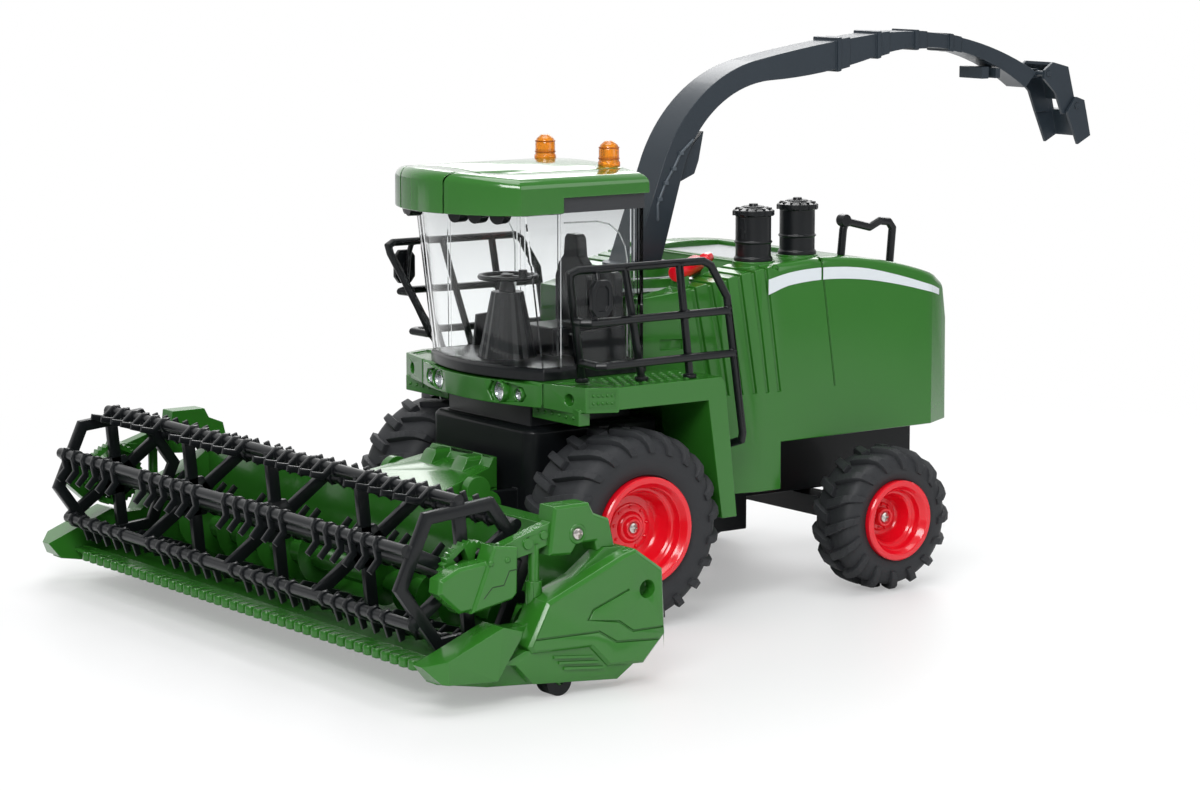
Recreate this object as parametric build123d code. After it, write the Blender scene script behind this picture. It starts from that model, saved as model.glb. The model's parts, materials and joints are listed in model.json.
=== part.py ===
from build123d import *
import math
import os

# Toy forage harvester with a reel header, about 330 mm long, all sizes in millimetres.
# Frame: +Z up, the toy drives towards -Y, +X is its left side. Sizes below are written
# from the front axle; export_node shifts them so that the origin is under the middle.

# Wheels
FRONT_WHEEL_R = 29.0
FRONT_WHEEL_W = 26.0
FRONT_RIM_R = 15.9
FRONT_TRACK = 44.5
FRONT_LUGS = 22
REAR_WHEEL_R = 22.0
REAR_WHEEL_W = 18.0
REAR_RIM_R = 12.3
REAR_TRACK = 48.5
REAR_LUGS = 16
WHEELBASE = 95.5
LUG_H = 1.8
LUG_PROUD = 0.7
LUG_SINK = 1.4
RIM_PROUD = 0.6
DISH_DEPTH = 8.5
HUB_REACH = 8.6
AXLE_PIN_R = 1.5
RUN_GAP = 0.05

# Steering
KINGPIN_X = 32.0
KINGPIN_R = 1.2
FORK_T = 2.0
KNUCKLE_H = 6.4
STEER_ARM = 9.0
STEER_PIN_R = 1.0
SLOT_PLAY = 0.25

# Body
TUB_HALF = 26.6
TUB_FRONT_Y = -19.7
TUB_REAR_Y = 26.0
TUB_TOP_Z = 56.5
TUB_BOTTOM_Z = 17.0
NECK_HALF = 21.8
NECK_FRONT_Y = -16.1
BELLY_HALF = 20.0
BELLY_STEP_Y = 66.0
BELLY_REAR_Y = 132.0
BELLY_Z = 27.0
DECK_HALF = 51.7
DECK_TOP_Z = 70.8
DECK_SKIRT = 6.6
DECK_SKIN = 3.4
DECK_REAR_Y = 31.6
LAMP_BOX_X = 31.7
LAMP_BOX_Y = -19.0
LAMP_BOX_REAR_Y = -5.8
BUMPER_Y = -25.3
POCKET_DEPTH = 1.3
LEG_BOTTOM_Z = 28.6
LEG_LEAN = 5.4
LEG_W = 5.6
WALL = 1.8
FIT_GAP = 0.2

# Cab
CAB_HALF = 30.0
CAB_FRONT_Y = -24.5
CAB_CORNER_Y = -17.0
CAB_REAR_Y = 19.0
CAB_FLOOR_Z = 74.5
GLASS_TOP_Z = 119.5
GLASS_T = 1.2
WINDSCREEN_LEAN = 6.0
ROOF_HALF = 31.5
ROOF_FRONT_Y = -41.0
ROOF_CORNER_Y = -26.0
ROOF_REAR_Y = 20.0
ROOF_TOP_Z = 132.0
ROOF_CROWN = 2.4
ROOF_ROUND = 3.2
ROOF_STEP_Y = -10.7
ROOF_STEP_Z = 124.0
SEAM_W = 0.5
SEAM_DEPTH = 0.45
ROOF_SEAM_X = 22.0
ROOF_LAMP_R = 2.6
BEACON_X = 16.5
BEACON_Y = 16.0
BEACON_R = 3.0
BEACON_H = 7.2
CONSOLE_Y = -9.0
CONSOLE_R = 8.8
CONSOLE_TOP_Z = 94.0
STEERING_R = 8.2
SEAT_HALF = 8.2

# Hood
HOOD_FRONT_Y = 20.8
HOOD_REAR_Y = 137.0
HOOD_HALF = 38.0
HOOD_CREST_Z = 101.5
HOOD_BOTTOM_Z = 46.5
RIBS = 6
RIB_FIRST_Y = 34.0
RIB_PITCH = 4.6
RIB_GROOVE_W = 1.3
RIB_GROOVE_DEPTH = 0.9
RIB_LEAN = 6.6
PANEL_SEAM_Y = 79.5
WELL_HALF = 21.0
WELL_FLOOR_Z = 93.2
WELL_REAR_Y = 56.0
TREAD_PLATE_Z = 99.6
LOUVRES = 5
LOUVRE_PITCH = 4.4
STACK_X = 28.0
STACKS = ((61.5, 101.2), (78.5, 102.2))
STACK_R = 5.9
STACK_H = 16.5
MIST_X = 10.0
MIST_Y = 95.0
MIST_Z = 102.0
BOTTLE_R = 2.7
BOTTLE_REAR = (18.0, 52.5, 101.9)
BOTTLE_FRONT = (26.0, 33.5, 98.6)
HANDLE_R = 1.3
HANDLE_X = 30.0
RAIL_R = 1.25
RAIL_X = 48.6
RAIL_TOP_Z = 105.0
TUBE_SIDES = 8

# Spout
SPOUT_Y = 38.0
SPOUT_BASE_Z = 98.4
SPOUT_TOP_Z = 166.8
SPOUT_BASE_W = 12.4
SPOUT_TIP_W = 9.0
SPOUT_END_Y = 198.0
COLLARS = (112.0, 128.4, 144.2, 159.0)
COLLAR_H = 0.8
TURNTABLE_R = 11.0
TURNTABLE_Z = 88.0
TURNTABLE_COLLAR_R = 15.0
PIVOT_R = 4.0
PIVOT_H = 4.0

# Header
TABLE_HALF = 103.5
COVER_W = 10.0
NOSE_Y = -110.0
TABLE_FRONT_Y = -101.0
TABLE_TOP_Z = 40.8
TOOTH_PITCH = 4.5
TOOTH_W = 3.4
TOOTH_MARGIN = 9.0
LIFT_Y = -31.9
LIFT_Z = 35.1
LIFT_PIN_R = 1.5
EAR_X = 22.0
EAR_T = 3.2
EAR_R = 4.2
LUG_X0 = 17.8
LUG_X1 = 20.2
LUG_R = 3.2
REEL_Y = -89.6
REEL_Z = 33.3
REEL_BAR_R = 20.2
REEL_PLAY = 5.7
REEL_BAYS = 4
REEL_BARS = 6
REEL_TURN = 95.4
SPIDER_T = 2.0
BAR_R = 1.5
REEL_SHAFT_R = 2.6
REEL_PIN_R = 1.6
TINES = 6
TINE_PITCH = 5.5
TINE_FIRST = 5.4
TINE_T = 0.9
AUGER_Y = -63.0
AUGER_Z = 16.0
AUGER_R = 7.8
AUGER_CORE_R = 3.6
AUGER_PITCH = 12.0
AUGER_PLAY = 2.5
AUGER_GAP = 14.0
FLIGHT_T = 0.9
FLIGHT_STEPS = 12
TROUGH_R = 9.6
ROLLER_R = 4.0
ROLLER_W = 5.2
ROLLER_Y = -68.0
ROLLER_PIN_R = 1.0
GEAR_R = 9.7
GEAR_TEETH = 36
GEAR_W = 2.9
GEAR_GAP = 0.1

# Flaps at the spout's end
FLAP_END_Y = 219.0
FLAP_Y = 201.0
FLAP_Z = 152.0
FLAP_HALF = 7.0
FLAP_T = 1.2
FLAP_PIN_R = 1.0
FLAP_PLAY = 0.2
TIP_Y = 212.6
TIP_Z = 141.2
MID_Y = (NOSE_Y + FLAP_END_Y) / 2


def box(x0, x1, y0, y1, z0, z1):
    middle = Pos((x0 + x1) / 2, (y0 + y1) / 2, (z0 + z1) / 2)
    return middle * Box(x1 - x0, y1 - y0, z1 - z0)


def prism_x(points, x0, x1):
    face = make_face(Polyline(*points, close=True))
    return extrude(Plane.YZ.offset(x0) * face, amount=x1 - x0)


def prism_z(points, z0, z1):
    face = make_face(Polyline(*points, close=True))
    return extrude(Plane.XY.offset(z0) * face, amount=z1 - z0)


def rod_x(radius, x0, x1, y, z):
    return Pos((x0 + x1) / 2, y, z) * Rot(0, 90, 0) * Cylinder(radius, x1 - x0)


def rod_z(radius, x, y, z0, z1):
    return Pos(x, y, (z0 + z1) / 2) * Cylinder(radius, z1 - z0)


def mirrored(part):
    return mirror(part, about=Plane.YZ)


def both(part):
    return part + mirrored(part)


def ring_stack(stations, sides):
    """Many-sided solid about the X axis through (x, radius) stations."""
    rings = [Plane.YZ.offset(x) * RegularPolygon(radius, sides) for x, radius in stations]
    return loft(rings, ruled=True)


def prism_y(points, y0, y1):
    face = make_face(Polyline(*points, close=True))
    return extrude(Plane.XZ.offset(-y1) * face, amount=y1 - y0)


def tube(points, radius):
    """Tube with mitred bends, of TUBE_SIDES flats."""
    path = Polyline(*points)
    start = Plane(origin=path @ 0, z_dir=path % 0)
    return sweep(start * RegularPolygon(radius, TUBE_SIDES), path=path, transition=Transition.RIGHT)


def lug(radius, width, lugs):
    """One tread lug on the +X side, its crown upwards, its middle end leading."""
    half = width / 2
    shoulder = width * 0.16
    pitch = 2 * math.pi * radius / lugs
    wide = pitch * 0.42
    trail = pitch * 0.62
    plan = [(-1.2, -wide * 0.4 - trail / 2), (half, trail / 2 - wide * 0.6),
            (half, trail / 2 + wide * 0.4), (-1.2, wide * 0.4 - trail / 2)]
    foot = radius - LUG_H - shoulder - LUG_SINK
    crown = math.sqrt(radius ** 2 - (trail / 2 + wide * 0.4) ** 2)
    side = [(-2, foot), (half, foot), (half, crown - shoulder), (half - shoulder, crown), (-2, crown)]
    return prism_z(plan, foot, radius + 1) & prism_y(side, -2 * pitch, 2 * pitch)


def tyre(radius, width, rim_r, lugs):
    """Carcass with rounded shoulders and two rows of chevron lugs, about the X axis."""
    half = width / 2
    wall = half - LUG_PROUD
    tread_r = radius - LUG_H
    shoulder = width * 0.16
    bead = rim_r + 0.7
    outer = [(wall - 2.2, bead), (wall, (bead + tread_r) / 2), (wall - shoulder, tread_r)]
    stations = [(-x, r) for x, r in outer] + outer[::-1]
    carcass = ring_stack(stations, 2 * lugs) - rod_x(rim_r, -half, half, 0, 0)
    one = lug(radius, width, lugs)
    row = [Rot(i * 360 / lugs, 0, 0) * one for i in range(lugs)]
    other = [Rot(180 / lugs, 0, 0) * mirrored(item) for item in row]
    return carcass + row + other


def rim(radius, width, lip_x):
    """Deep dished rim, outer face at lip_x, about the X axis."""
    back = 2.2 - width / 2
    bore = AXLE_PIN_R + RUN_GAP
    dish = lip_x - DISH_DEPTH
    disc_r = radius - 6.6
    section = make_face(Polyline(
        (back, bore), (dish - 0.6, bore), (dish - 0.6, 2.6), (dish + 1.4, 2.9), (dish + 1.0, 3.9),
        (dish + 0.2, disc_r * 0.6), (dish - 1.0, disc_r * 0.66), (dish - 1.0, disc_r),
        (dish + 3.8, radius - 4.6), (dish + 3.8, radius - 3.4), (lip_x - 1.6, radius - 2.9),
        (lip_x, radius - 1.9), (lip_x, radius), (back, radius), (back, radius - 2.0),
        (dish - 3.0, disc_r), (dish - 3.0, 4.6), (back, 4.6), close=True))
    return revolve(section, axis=Axis.X)


def wheel_pair(front):
    radius = FRONT_WHEEL_R if front else REAR_WHEEL_R
    width = FRONT_WHEEL_W if front else REAR_WHEEL_W
    rim_r = FRONT_RIM_R if front else REAR_RIM_R
    track = FRONT_TRACK if front else REAR_TRACK
    place = Pos(track, 0 if front else WHEELBASE, radius)
    rubber = place * tyre(radius, width, rim_r, FRONT_LUGS if front else REAR_LUGS)
    wheel = place * rim(rim_r, width, width / 2 + RIM_PROUD)
    return rubber, wheel


def front_axle():
    hub = FRONT_TRACK + FRONT_WHEEL_W / 2 - HUB_REACH
    stub = rod_x(AXLE_PIN_R, TUB_HALF, hub, 0, FRONT_WHEEL_R)
    flange = rod_x(6.0, TUB_HALF, TUB_HALF + 2.2, 0, FRONT_WHEEL_R)
    return both(stub + flange)


def rear_axle():
    """Cast beam under the belly with a fork at each end for the kingpin."""
    z = REAR_WHEEL_R
    y = WHEELBASE
    inner = KINGPIN_X - 5
    gap = KNUCKLE_H / 2 + FIT_GAP
    beam = box(-inner, inner, y - 4.5, y + 4.5, z - 3.0, z + 3.0)
    mount = box(-9, 9, y - 4.5, y + 4.5, z + 3.0, BELLY_Z)
    plate = box(inner, KINGPIN_X + 3.2, y - 3.2, y + 3.2, z + gap, z + gap + FORK_T)
    lower = box(inner, KINGPIN_X + 3.2, y - 3.2, y + 3.2, z - gap - FORK_T, z - gap)
    root = box(inner - 2, inner + 1, y - 3.2, y + 3.2, z - gap - FORK_T, z + gap + FORK_T)
    fork = plate + lower + root - rod_z(KINGPIN_R + RUN_GAP, KINGPIN_X, y, z - 8, z + 8)
    return beam + mount + both(fork)


def knuckle():
    z = REAR_WHEEL_R
    y = WHEELBASE
    low = z - KNUCKLE_H / 2
    pin_half = KNUCKLE_H / 2 + FIT_GAP + FORK_T
    block = box(KINGPIN_X - 2.6, KINGPIN_X + 2.6, y - 3.0, y + 3.0, low, z + KNUCKLE_H / 2)
    pin = rod_z(KINGPIN_R, KINGPIN_X, y, z - pin_half, z + pin_half)
    spindle = rod_x(AXLE_PIN_R, KINGPIN_X, REAR_TRACK + REAR_WHEEL_W / 2 - HUB_REACH, y, z)
    arm = box(KINGPIN_X - 1.6, KINGPIN_X + 1.6, y, y + STEER_ARM + 1.6, low, low + 2.0)
    stud = rod_z(STEER_PIN_R, KINGPIN_X, y + STEER_ARM, low, z + 1.6)
    return block + pin + spindle + arm + stud


def steering_rack():
    z = REAR_WHEEL_R
    y = WHEELBASE + STEER_ARM
    half = KINGPIN_X + 2.6
    bar = box(-half, half, y - 2.6, y + 2.6, z - 1.0, z + 1.0)
    slot = box(KINGPIN_X - STEER_PIN_R - SLOT_PLAY, KINGPIN_X + STEER_PIN_R + SLOT_PLAY,
               y - STEER_PIN_R - 0.9, y + STEER_PIN_R + 0.4, z - 2, z + 2)
    return bar - both(slot)


def chassis_tub():
    """Black lower body with the lugs that the header hangs on."""
    front = box(-TUB_HALF, TUB_HALF, TUB_FRONT_Y, TUB_REAR_Y, TUB_BOTTOM_Z, TUB_TOP_Z)
    front = fillet(front.edges().filter_by(Axis.Z).group_by(Axis.Y)[0], 4)
    front = chamfer(front.faces().sort_by(Axis.Z)[-1].edges().filter_by(Axis.X).sort_by(Axis.Y)[0], 1.2)
    neck = box(-NECK_HALF, NECK_HALF, NECK_FRONT_Y, 20, TUB_TOP_Z, DECK_TOP_Z - DECK_SKIN)
    middle = box(-BELLY_HALF, BELLY_HALF, TUB_REAR_Y, BELLY_STEP_Y, TUB_BOTTOM_Z, HOOD_BOTTOM_Z)
    belly = box(-BELLY_HALF, BELLY_HALF, BELLY_STEP_Y, BELLY_REAR_Y, BELLY_Z, HOOD_BOTTOM_Z)
    eye = box(LUG_X0, LUG_X1, LIFT_Y, TUB_FRONT_Y, LIFT_Z - LUG_R, LIFT_Z + LUG_R)
    eye += rod_x(LUG_R, LUG_X0, LUG_X1, LIFT_Y, LIFT_Z)
    eye -= rod_x(LIFT_PIN_R + RUN_GAP, LUG_X0 - 1, LUG_X1 + 1, LIFT_Y, LIFT_Z)
    return front + neck + middle + belly + both(eye)


def bumper_bow(inset):
    """Plan of the curved light bar between the lamp boxes."""
    edge = Line((-LAMP_BOX_X, LAMP_BOX_Y + inset), (LAMP_BOX_X, LAMP_BOX_Y + inset))
    arc = ThreePointArc((LAMP_BOX_X, LAMP_BOX_Y + inset), (0, BUMPER_Y + inset),
                        (-LAMP_BOX_X, LAMP_BOX_Y + inset))
    return make_face(edge + arc)


def headlamps():
    """Big and small lamp of each side, standing in the pocket of the light bar."""
    z = DECK_TOP_Z - 3.8
    big = Pos(16.0, BUMPER_Y + 3.4, z) * Rot(90, 0, 0) * Cylinder(2.7, 2.6)
    small = Pos(23.4, BUMPER_Y + 5.2, z - 0.3) * Rot(90, 0, 0) * Cylinder(1.7, 2.6)
    return both(big + small)


def lamp_pocket():
    z = DECK_TOP_Z - 3.8
    shape = prism_y([(11.6, z), (13.4, z + 2.8), (18.6, z + 2.9), (25.2, z + 1.8), (26.4, z - 0.4),
                     (25.2, z - 2.2), (18.6, z - 2.9), (13.4, z - 2.8)], BUMPER_Y - 4, LAMP_BOX_Y)
    kept = extrude(Plane.XY.offset(DECK_TOP_Z - 20) * bumper_bow(POCKET_DEPTH), amount=30)
    return both(shape - kept)


def fender_deck():
    """Deck with light bar, lamp boxes and the leaning legs behind the front wheels."""
    skirt_z = DECK_TOP_Z - DECK_SKIRT
    corner = (DECK_HALF - 4.1, LAMP_BOX_Y + 4.2)
    right = [(DECK_HALF, DECK_REAR_Y), (DECK_HALF, LAMP_BOX_REAR_Y), corner, (LAMP_BOX_X, LAMP_BOX_Y)]
    outline = right + [(-x, y) for x, y in reversed(right)]
    slab = prism_z(outline, skirt_z, DECK_TOP_Z)
    box_foot = [p for p in right[1:]] + [(LAMP_BOX_X, LAMP_BOX_REAR_Y)]
    slab += both(prism_z(box_foot, skirt_z - 0.8, skirt_z))
    slab += extrude(Plane.XY.offset(skirt_z - 0.8) * bumper_bow(0), amount=DECK_SKIRT + 0.2)
    slab -= lamp_pocket()
    slab -= box(-DECK_HALF + WALL, DECK_HALF - WALL, LAMP_BOX_REAR_Y + WALL, DECK_REAR_Y - WALL,
                skirt_z - 1, DECK_TOP_Z - DECK_SKIN)
    slab -= box(-NECK_HALF - 0.1, NECK_HALF + 0.1, NECK_FRONT_Y - 0.1, DECK_REAR_Y + 1, skirt_z - 1,
                DECK_TOP_Z - DECK_SKIN)
    slab += both(box(NECK_HALF + 0.6, DECK_HALF - 5.7, LAMP_BOX_Y + 3, LAMP_BOX_Y + 7, skirt_z - 4.7,
                     skirt_z))
    seam = box(LAMP_BOX_X, LAMP_BOX_X + SEAM_W, LAMP_BOX_Y - 2, LAMP_BOX_Y + SEAM_DEPTH + 0.1,
               skirt_z - 1, DECK_TOP_Z + 1)
    top_panel = prism_z([(LAMP_BOX_X + 2.4, LAMP_BOX_Y + 3.6), (LAMP_BOX_X + 2.4, LAMP_BOX_REAR_Y),
                         (DECK_HALF - 2.4, LAMP_BOX_REAR_Y), (DECK_HALF - 5.4, LAMP_BOX_Y + 5.2)],
                        DECK_TOP_Z - 0.6, DECK_TOP_Z + 1)
    hole = Pos(41.6, LAMP_BOX_Y + 2, skirt_z + 2.6) * Rot(90, 0, 0) * Cylinder(1.7, 6)
    slab -= both(seam + top_panel + hole)
    foot_y = DECK_REAR_Y - 5.2
    leg = prism_x([(foot_y, skirt_z + 1), (foot_y + LEG_LEAN, LEG_BOTTOM_Z),
                   (foot_y + LEG_LEAN + LEG_W, LEG_BOTTOM_Z), (foot_y + LEG_W + 1.3, skirt_z + 1),
                   (foot_y + LEG_W + 0.8, DECK_TOP_Z - 1.6), (DECK_REAR_Y - 0.4, DECK_TOP_Z)],
                  DECK_HALF - WALL, DECK_HALF)
    web = prism_x([(foot_y, skirt_z + 1), (foot_y + LEG_LEAN, LEG_BOTTOM_Z),
                   (foot_y + LEG_LEAN + WALL, LEG_BOTTOM_Z), (foot_y + WALL, skirt_z + 1)],
                  TUB_HALF + 0.4, DECK_HALF)
    return slab + both(leg + web) - headlamps() - hood_block(-FIT_GAP)


def cab_plan(half, front_y, corner_y, rear_y):
    corner = (half, corner_y)
    edge = Line((-half, rear_y), (half, rear_y)) + Line((half, rear_y), corner)
    edge += ThreePointArc(corner, (0, front_y), (-half, corner_y))
    edge += Line((-half, corner_y), (-half, rear_y))
    return make_face(edge)


def cab_base():
    """Black floor tub with its rolled edge and the low inner side panels."""
    plan = cab_plan(CAB_HALF, CAB_FRONT_Y, CAB_CORNER_Y, CAB_REAR_Y + 1)
    floor = extrude(Plane.XY.offset(DECK_TOP_Z) * plan, amount=CAB_FLOOR_Z - DECK_TOP_Z)
    floor = chamfer(floor.edges().group_by(Axis.Z)[-1], 0.9)
    inner = CAB_HALF - 1 - GLASS_T - FIT_GAP
    panel = prism_x([(-3.6, CAB_FLOOR_Z), (-2.4, CAB_FLOOR_Z + 9.5), (13.6, CAB_FLOOR_Z + 10.5),
                     (14.2, CAB_FLOOR_Z)], inner - 1.4, inner)
    return floor + both(panel)


def glass_solid(inset):
    """Cab space: upright sides and back, and a bowed windscreen that leans forward."""
    half = CAB_HALF - 1 - inset
    front = CAB_FRONT_Y + 1 + inset
    corner = CAB_CORNER_Y + inset
    height = GLASS_TOP_Z - CAB_FLOOR_Z
    bow = Plane.XY.offset(CAB_FLOOR_Z) * cab_plan(half, front, corner, 0)
    lean = extrude(bow, amount=height, dir=(0, -WINDSCREEN_LEAN, height))
    return lean + box(-half, half, -WINDSCREEN_LEAN - 4, CAB_REAR_Y - inset, CAB_FLOOR_Z, GLASS_TOP_Z)


def cab_glazing():
    """One clear moulding: panes, moulded pillars and the door's hinge blocks."""
    panes = glass_solid(0) - glass_solid(GLASS_T)
    side = CAB_HALF - 1
    pillar = box(side - GLASS_T, side + 0.6, CAB_REAR_Y - 1.4, CAB_REAR_Y, CAB_FLOOR_Z, GLASS_TOP_Z)
    pillar += box(side - GLASS_T, side + 0.6, CAB_REAR_Y - 4.4, CAB_REAR_Y - 3.2, CAB_FLOOR_Z,
                  GLASS_TOP_Z)
    pillar += box(side - 0.2, side + 0.5, -11.5, -10.5, CAB_FLOOR_Z, GLASS_TOP_Z)
    hinge = box(side, side + 1.6, CAB_REAR_Y - 5.0, CAB_REAR_Y - 1.0, CAB_FLOOR_Z + 16.5,
                CAB_FLOOR_Z + 19.5)
    hinge += Pos(0, 0, -13) * hinge
    return panes + both(pillar + hinge)


def cab_roof():
    """Crowned roof with a rounded fascia, seams and the two beacon seats."""
    plan = cab_plan(ROOF_HALF, ROOF_FRONT_Y, ROOF_CORNER_Y, ROOF_REAR_Y)
    roof = extrude(Plane.XY.offset(GLASS_TOP_Z) * plan, amount=ROOF_TOP_Z - GLASS_TOP_Z)
    reach = ROOF_HALF + 1
    edge_z = ROOF_TOP_Z - ROOF_CROWN
    over = (Polyline((-reach, edge_z), (-reach, GLASS_TOP_Z - 1), (reach, GLASS_TOP_Z - 1),
                     (reach, edge_z))
            + ThreePointArc((reach, edge_z), (0, ROOF_TOP_Z), (-reach, edge_z)))
    roof &= extrude(Plane.XZ.offset(-ROOF_REAR_Y - 1) * make_face(over), amount=100)
    roof = fillet(roof.faces().sort_by(Axis.Z)[-1].edges(), ROOF_ROUND)
    under = Pos(0, SEAM_DEPTH, -SEAM_DEPTH) * roof
    x = ROOF_SEAM_X
    strip = prism_z([(x, ROOF_REAR_Y - 3), (x - 1, -22), (9, ROOF_FRONT_Y - 2),
                     (9 + SEAM_W, ROOF_FRONT_Y - 2), (x - 1 + SEAM_W, -22), (x + SEAM_W, ROOF_REAR_Y - 3)],
                    GLASS_TOP_Z - 1, ROOF_TOP_Z + 1)
    cross = box(-x + 4, x - 4, -31, -31 + SEAM_W, ROOF_TOP_Z - 4, ROOF_TOP_Z + 1)
    roof -= both(strip) + cross - under
    roof -= box(-reach, reach, ROOF_STEP_Y, ROOF_REAR_Y + 1, GLASS_TOP_Z - 1, ROOF_STEP_Z)
    return roof


def roof_liner():
    return box(-ROOF_HALF + 1.6, ROOF_HALF - 1.6, ROOF_STEP_Y, ROOF_REAR_Y - 0.8,
               GLASS_TOP_Z, ROOF_STEP_Z)


def roof_lamps():
    """Three half-round work lamps a side under the roof's front edge."""
    lamps = []
    for x, y in ((12, -34.4), (18, -31.6), (24, -28.0)):
        turn = math.degrees(math.atan2(x, 60))
        lamps.append(Pos(x, y, GLASS_TOP_Z) * Rot(0, 0, turn) * Rot(90, 0, 0) * Cylinder(ROOF_LAMP_R, 4.0))
    lamps = lamps[0] + lamps[1:]
    return both(lamps - box(0, 40, -50, 0, GLASS_TOP_Z, GLASS_TOP_Z + 5))


def beacons(roof):
    """Domed warning lamps standing on the roof."""
    r = BEACON_R
    dome = make_face(Polyline((0, 0), (r + 0.3, 0), (r + 0.3, 1.0), (r, 1.2), (r, BEACON_H - 2.6),
                              (r * 0.86, BEACON_H - 1.2), (r * 0.4, BEACON_H), (0, BEACON_H),
                              close=True))
    lamp = revolve(Plane.XZ * dome, axis=Axis.Z)
    seat_z = ROOF_TOP_Z - ROOF_CROWN - 1
    stem = rod_z(r + 0.3, BEACON_X, BEACON_Y, seat_z, ROOF_TOP_Z - 0.6)
    lamp = Pos(BEACON_X, BEACON_Y, ROOF_TOP_Z - 0.6) * lamp
    return both(lamp + stem) - roof


def fluted(radius, depth, flutes, z):
    points = []
    for i in range(2 * flutes):
        reach = radius if i % 2 else radius - depth
        angle = math.pi * i / flutes
        points.append((reach * math.cos(angle), CONSOLE_Y + reach * math.sin(angle)))
    return Plane.XY.offset(z) * make_face(Polyline(*points, close=True))


def steering_console():
    """Fluted cone under the steering wheel."""
    return loft([fluted(CONSOLE_R, 0.5, 16, CAB_FLOOR_Z), fluted(CONSOLE_R * 0.55, 0.3, 16, CONSOLE_TOP_Z)],
                ruled=True)


def steering_wheel():
    """Rim, three spokes, hub and spinner knob, standing on the console."""
    r = STEERING_R
    ring = make_face(Polyline((r - 0.8, 0), (r - 0.4, 0.7), (r + 0.4, 0.7), (r + 0.8, 0),
                              (r + 0.4, -0.7), (r - 0.4, -0.7), close=True))
    wheel = revolve(Plane.XZ * ring, axis=Axis.Z)
    wheel += [Rot(0, 0, 120 * i - 90) * Pos(r / 2, 0) * Box(r - 0.4, 1.8, 0.8) for i in range(3)]
    wheel += Cylinder(2.0, 1.6) + Pos(r, 0, 1.4) * Cylinder(1.3, 2.8)
    column = loft([Pos(0, 0, -4.4) * Circle(2.6), Circle(1.6)])
    rise = 4.4
    return Pos(0, CONSOLE_Y, CONSOLE_TOP_Z + rise) * (wheel + column)


def driver_seat():
    """Driver's seat with a headrest, and the low second seat on the left."""
    z = CAB_FLOOR_Z
    base = box(-SEAT_HALF, SEAT_HALF, 1, 14.5, z, z + 8.5)
    back = [(SEAT_HALF, z + 6), (SEAT_HALF, z + 22), (6.4, z + 26.5), (3.9, z + 28.8), (3.3, z + 34),
            (2.3, z + 35.3)]
    shape = prism_y(back + [(-x, h) for x, h in reversed(back)], 13.4, 17.2)
    second = box(10.4, 22.6, 5, 14, z, z + 7)
    second += prism_y([(10.4, z + 5), (22.6, z + 5), (22.6, z + 24), (21, z + 25.5), (12, z + 25.5),
                       (10.4, z + 24)], 13.6, 16.8)
    return base + shape + second + box(SEAT_HALF - 1, 11, 5, 13, z, z + 3)


def hood_block(shrink):
    """Hood from its outlines above and beside, shrunk all round."""
    half = HOOD_HALF - shrink
    near = [(half - 12.0, HOOD_FRONT_Y + shrink), (half - 9.5, 31), (half - 2.5, 44), (half, 57),
            (half - 1.5, 126), (half - 8.0, HOOD_REAR_Y + 1)]
    plan = prism_z([(-x, y) for x, y in near] + near[::-1], LEG_BOTTOM_Z, HOOD_CREST_Z + 5)
    top = HOOD_CREST_Z - shrink
    rear = HOOD_REAR_Y - shrink
    front = HOOD_FRONT_Y + shrink
    leg_y = DECK_REAR_Y - 5.2 + WALL + FIT_GAP
    deck_z = DECK_TOP_Z - DECK_SKIRT
    side = make_face(
        Polyline((129, top - 8.5), (133.5, top - 11), (rear - 0.5, 78.5), (rear, HOOD_BOTTOM_Z),
                 (BELLY_STEP_Y - 1, HOOD_BOTTOM_Z), (BELLY_STEP_Y - 1, 32), (leg_y + 6.0, 32),
                 (leg_y + 1.0, deck_z), (front, deck_z), (front, top - 9.5), (31, top - 8.1),
                 (45, top - 4.2), (57, top - 1.8))
        + ThreePointArc((57, top - 1.8), (84, top), (129, top - 8.5)))
    return plan & extrude(Plane.YZ.offset(-60) * side, amount=120)


def slanted_band(y, wide, lean):
    """Upright cutter for a groove down the hood's flank, its foot further back."""
    return prism_x([(y, 106), (y + wide, 106), (y + wide + lean, 62), (y + lean, 62)], WELL_HALF, 60)


def saddle(x, y, z):
    """Cradle block under the extinguisher."""
    return box(x - 3.0, x + 3.0, y - 1.4, y + 1.4, z - 8, z - 0.6)


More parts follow.
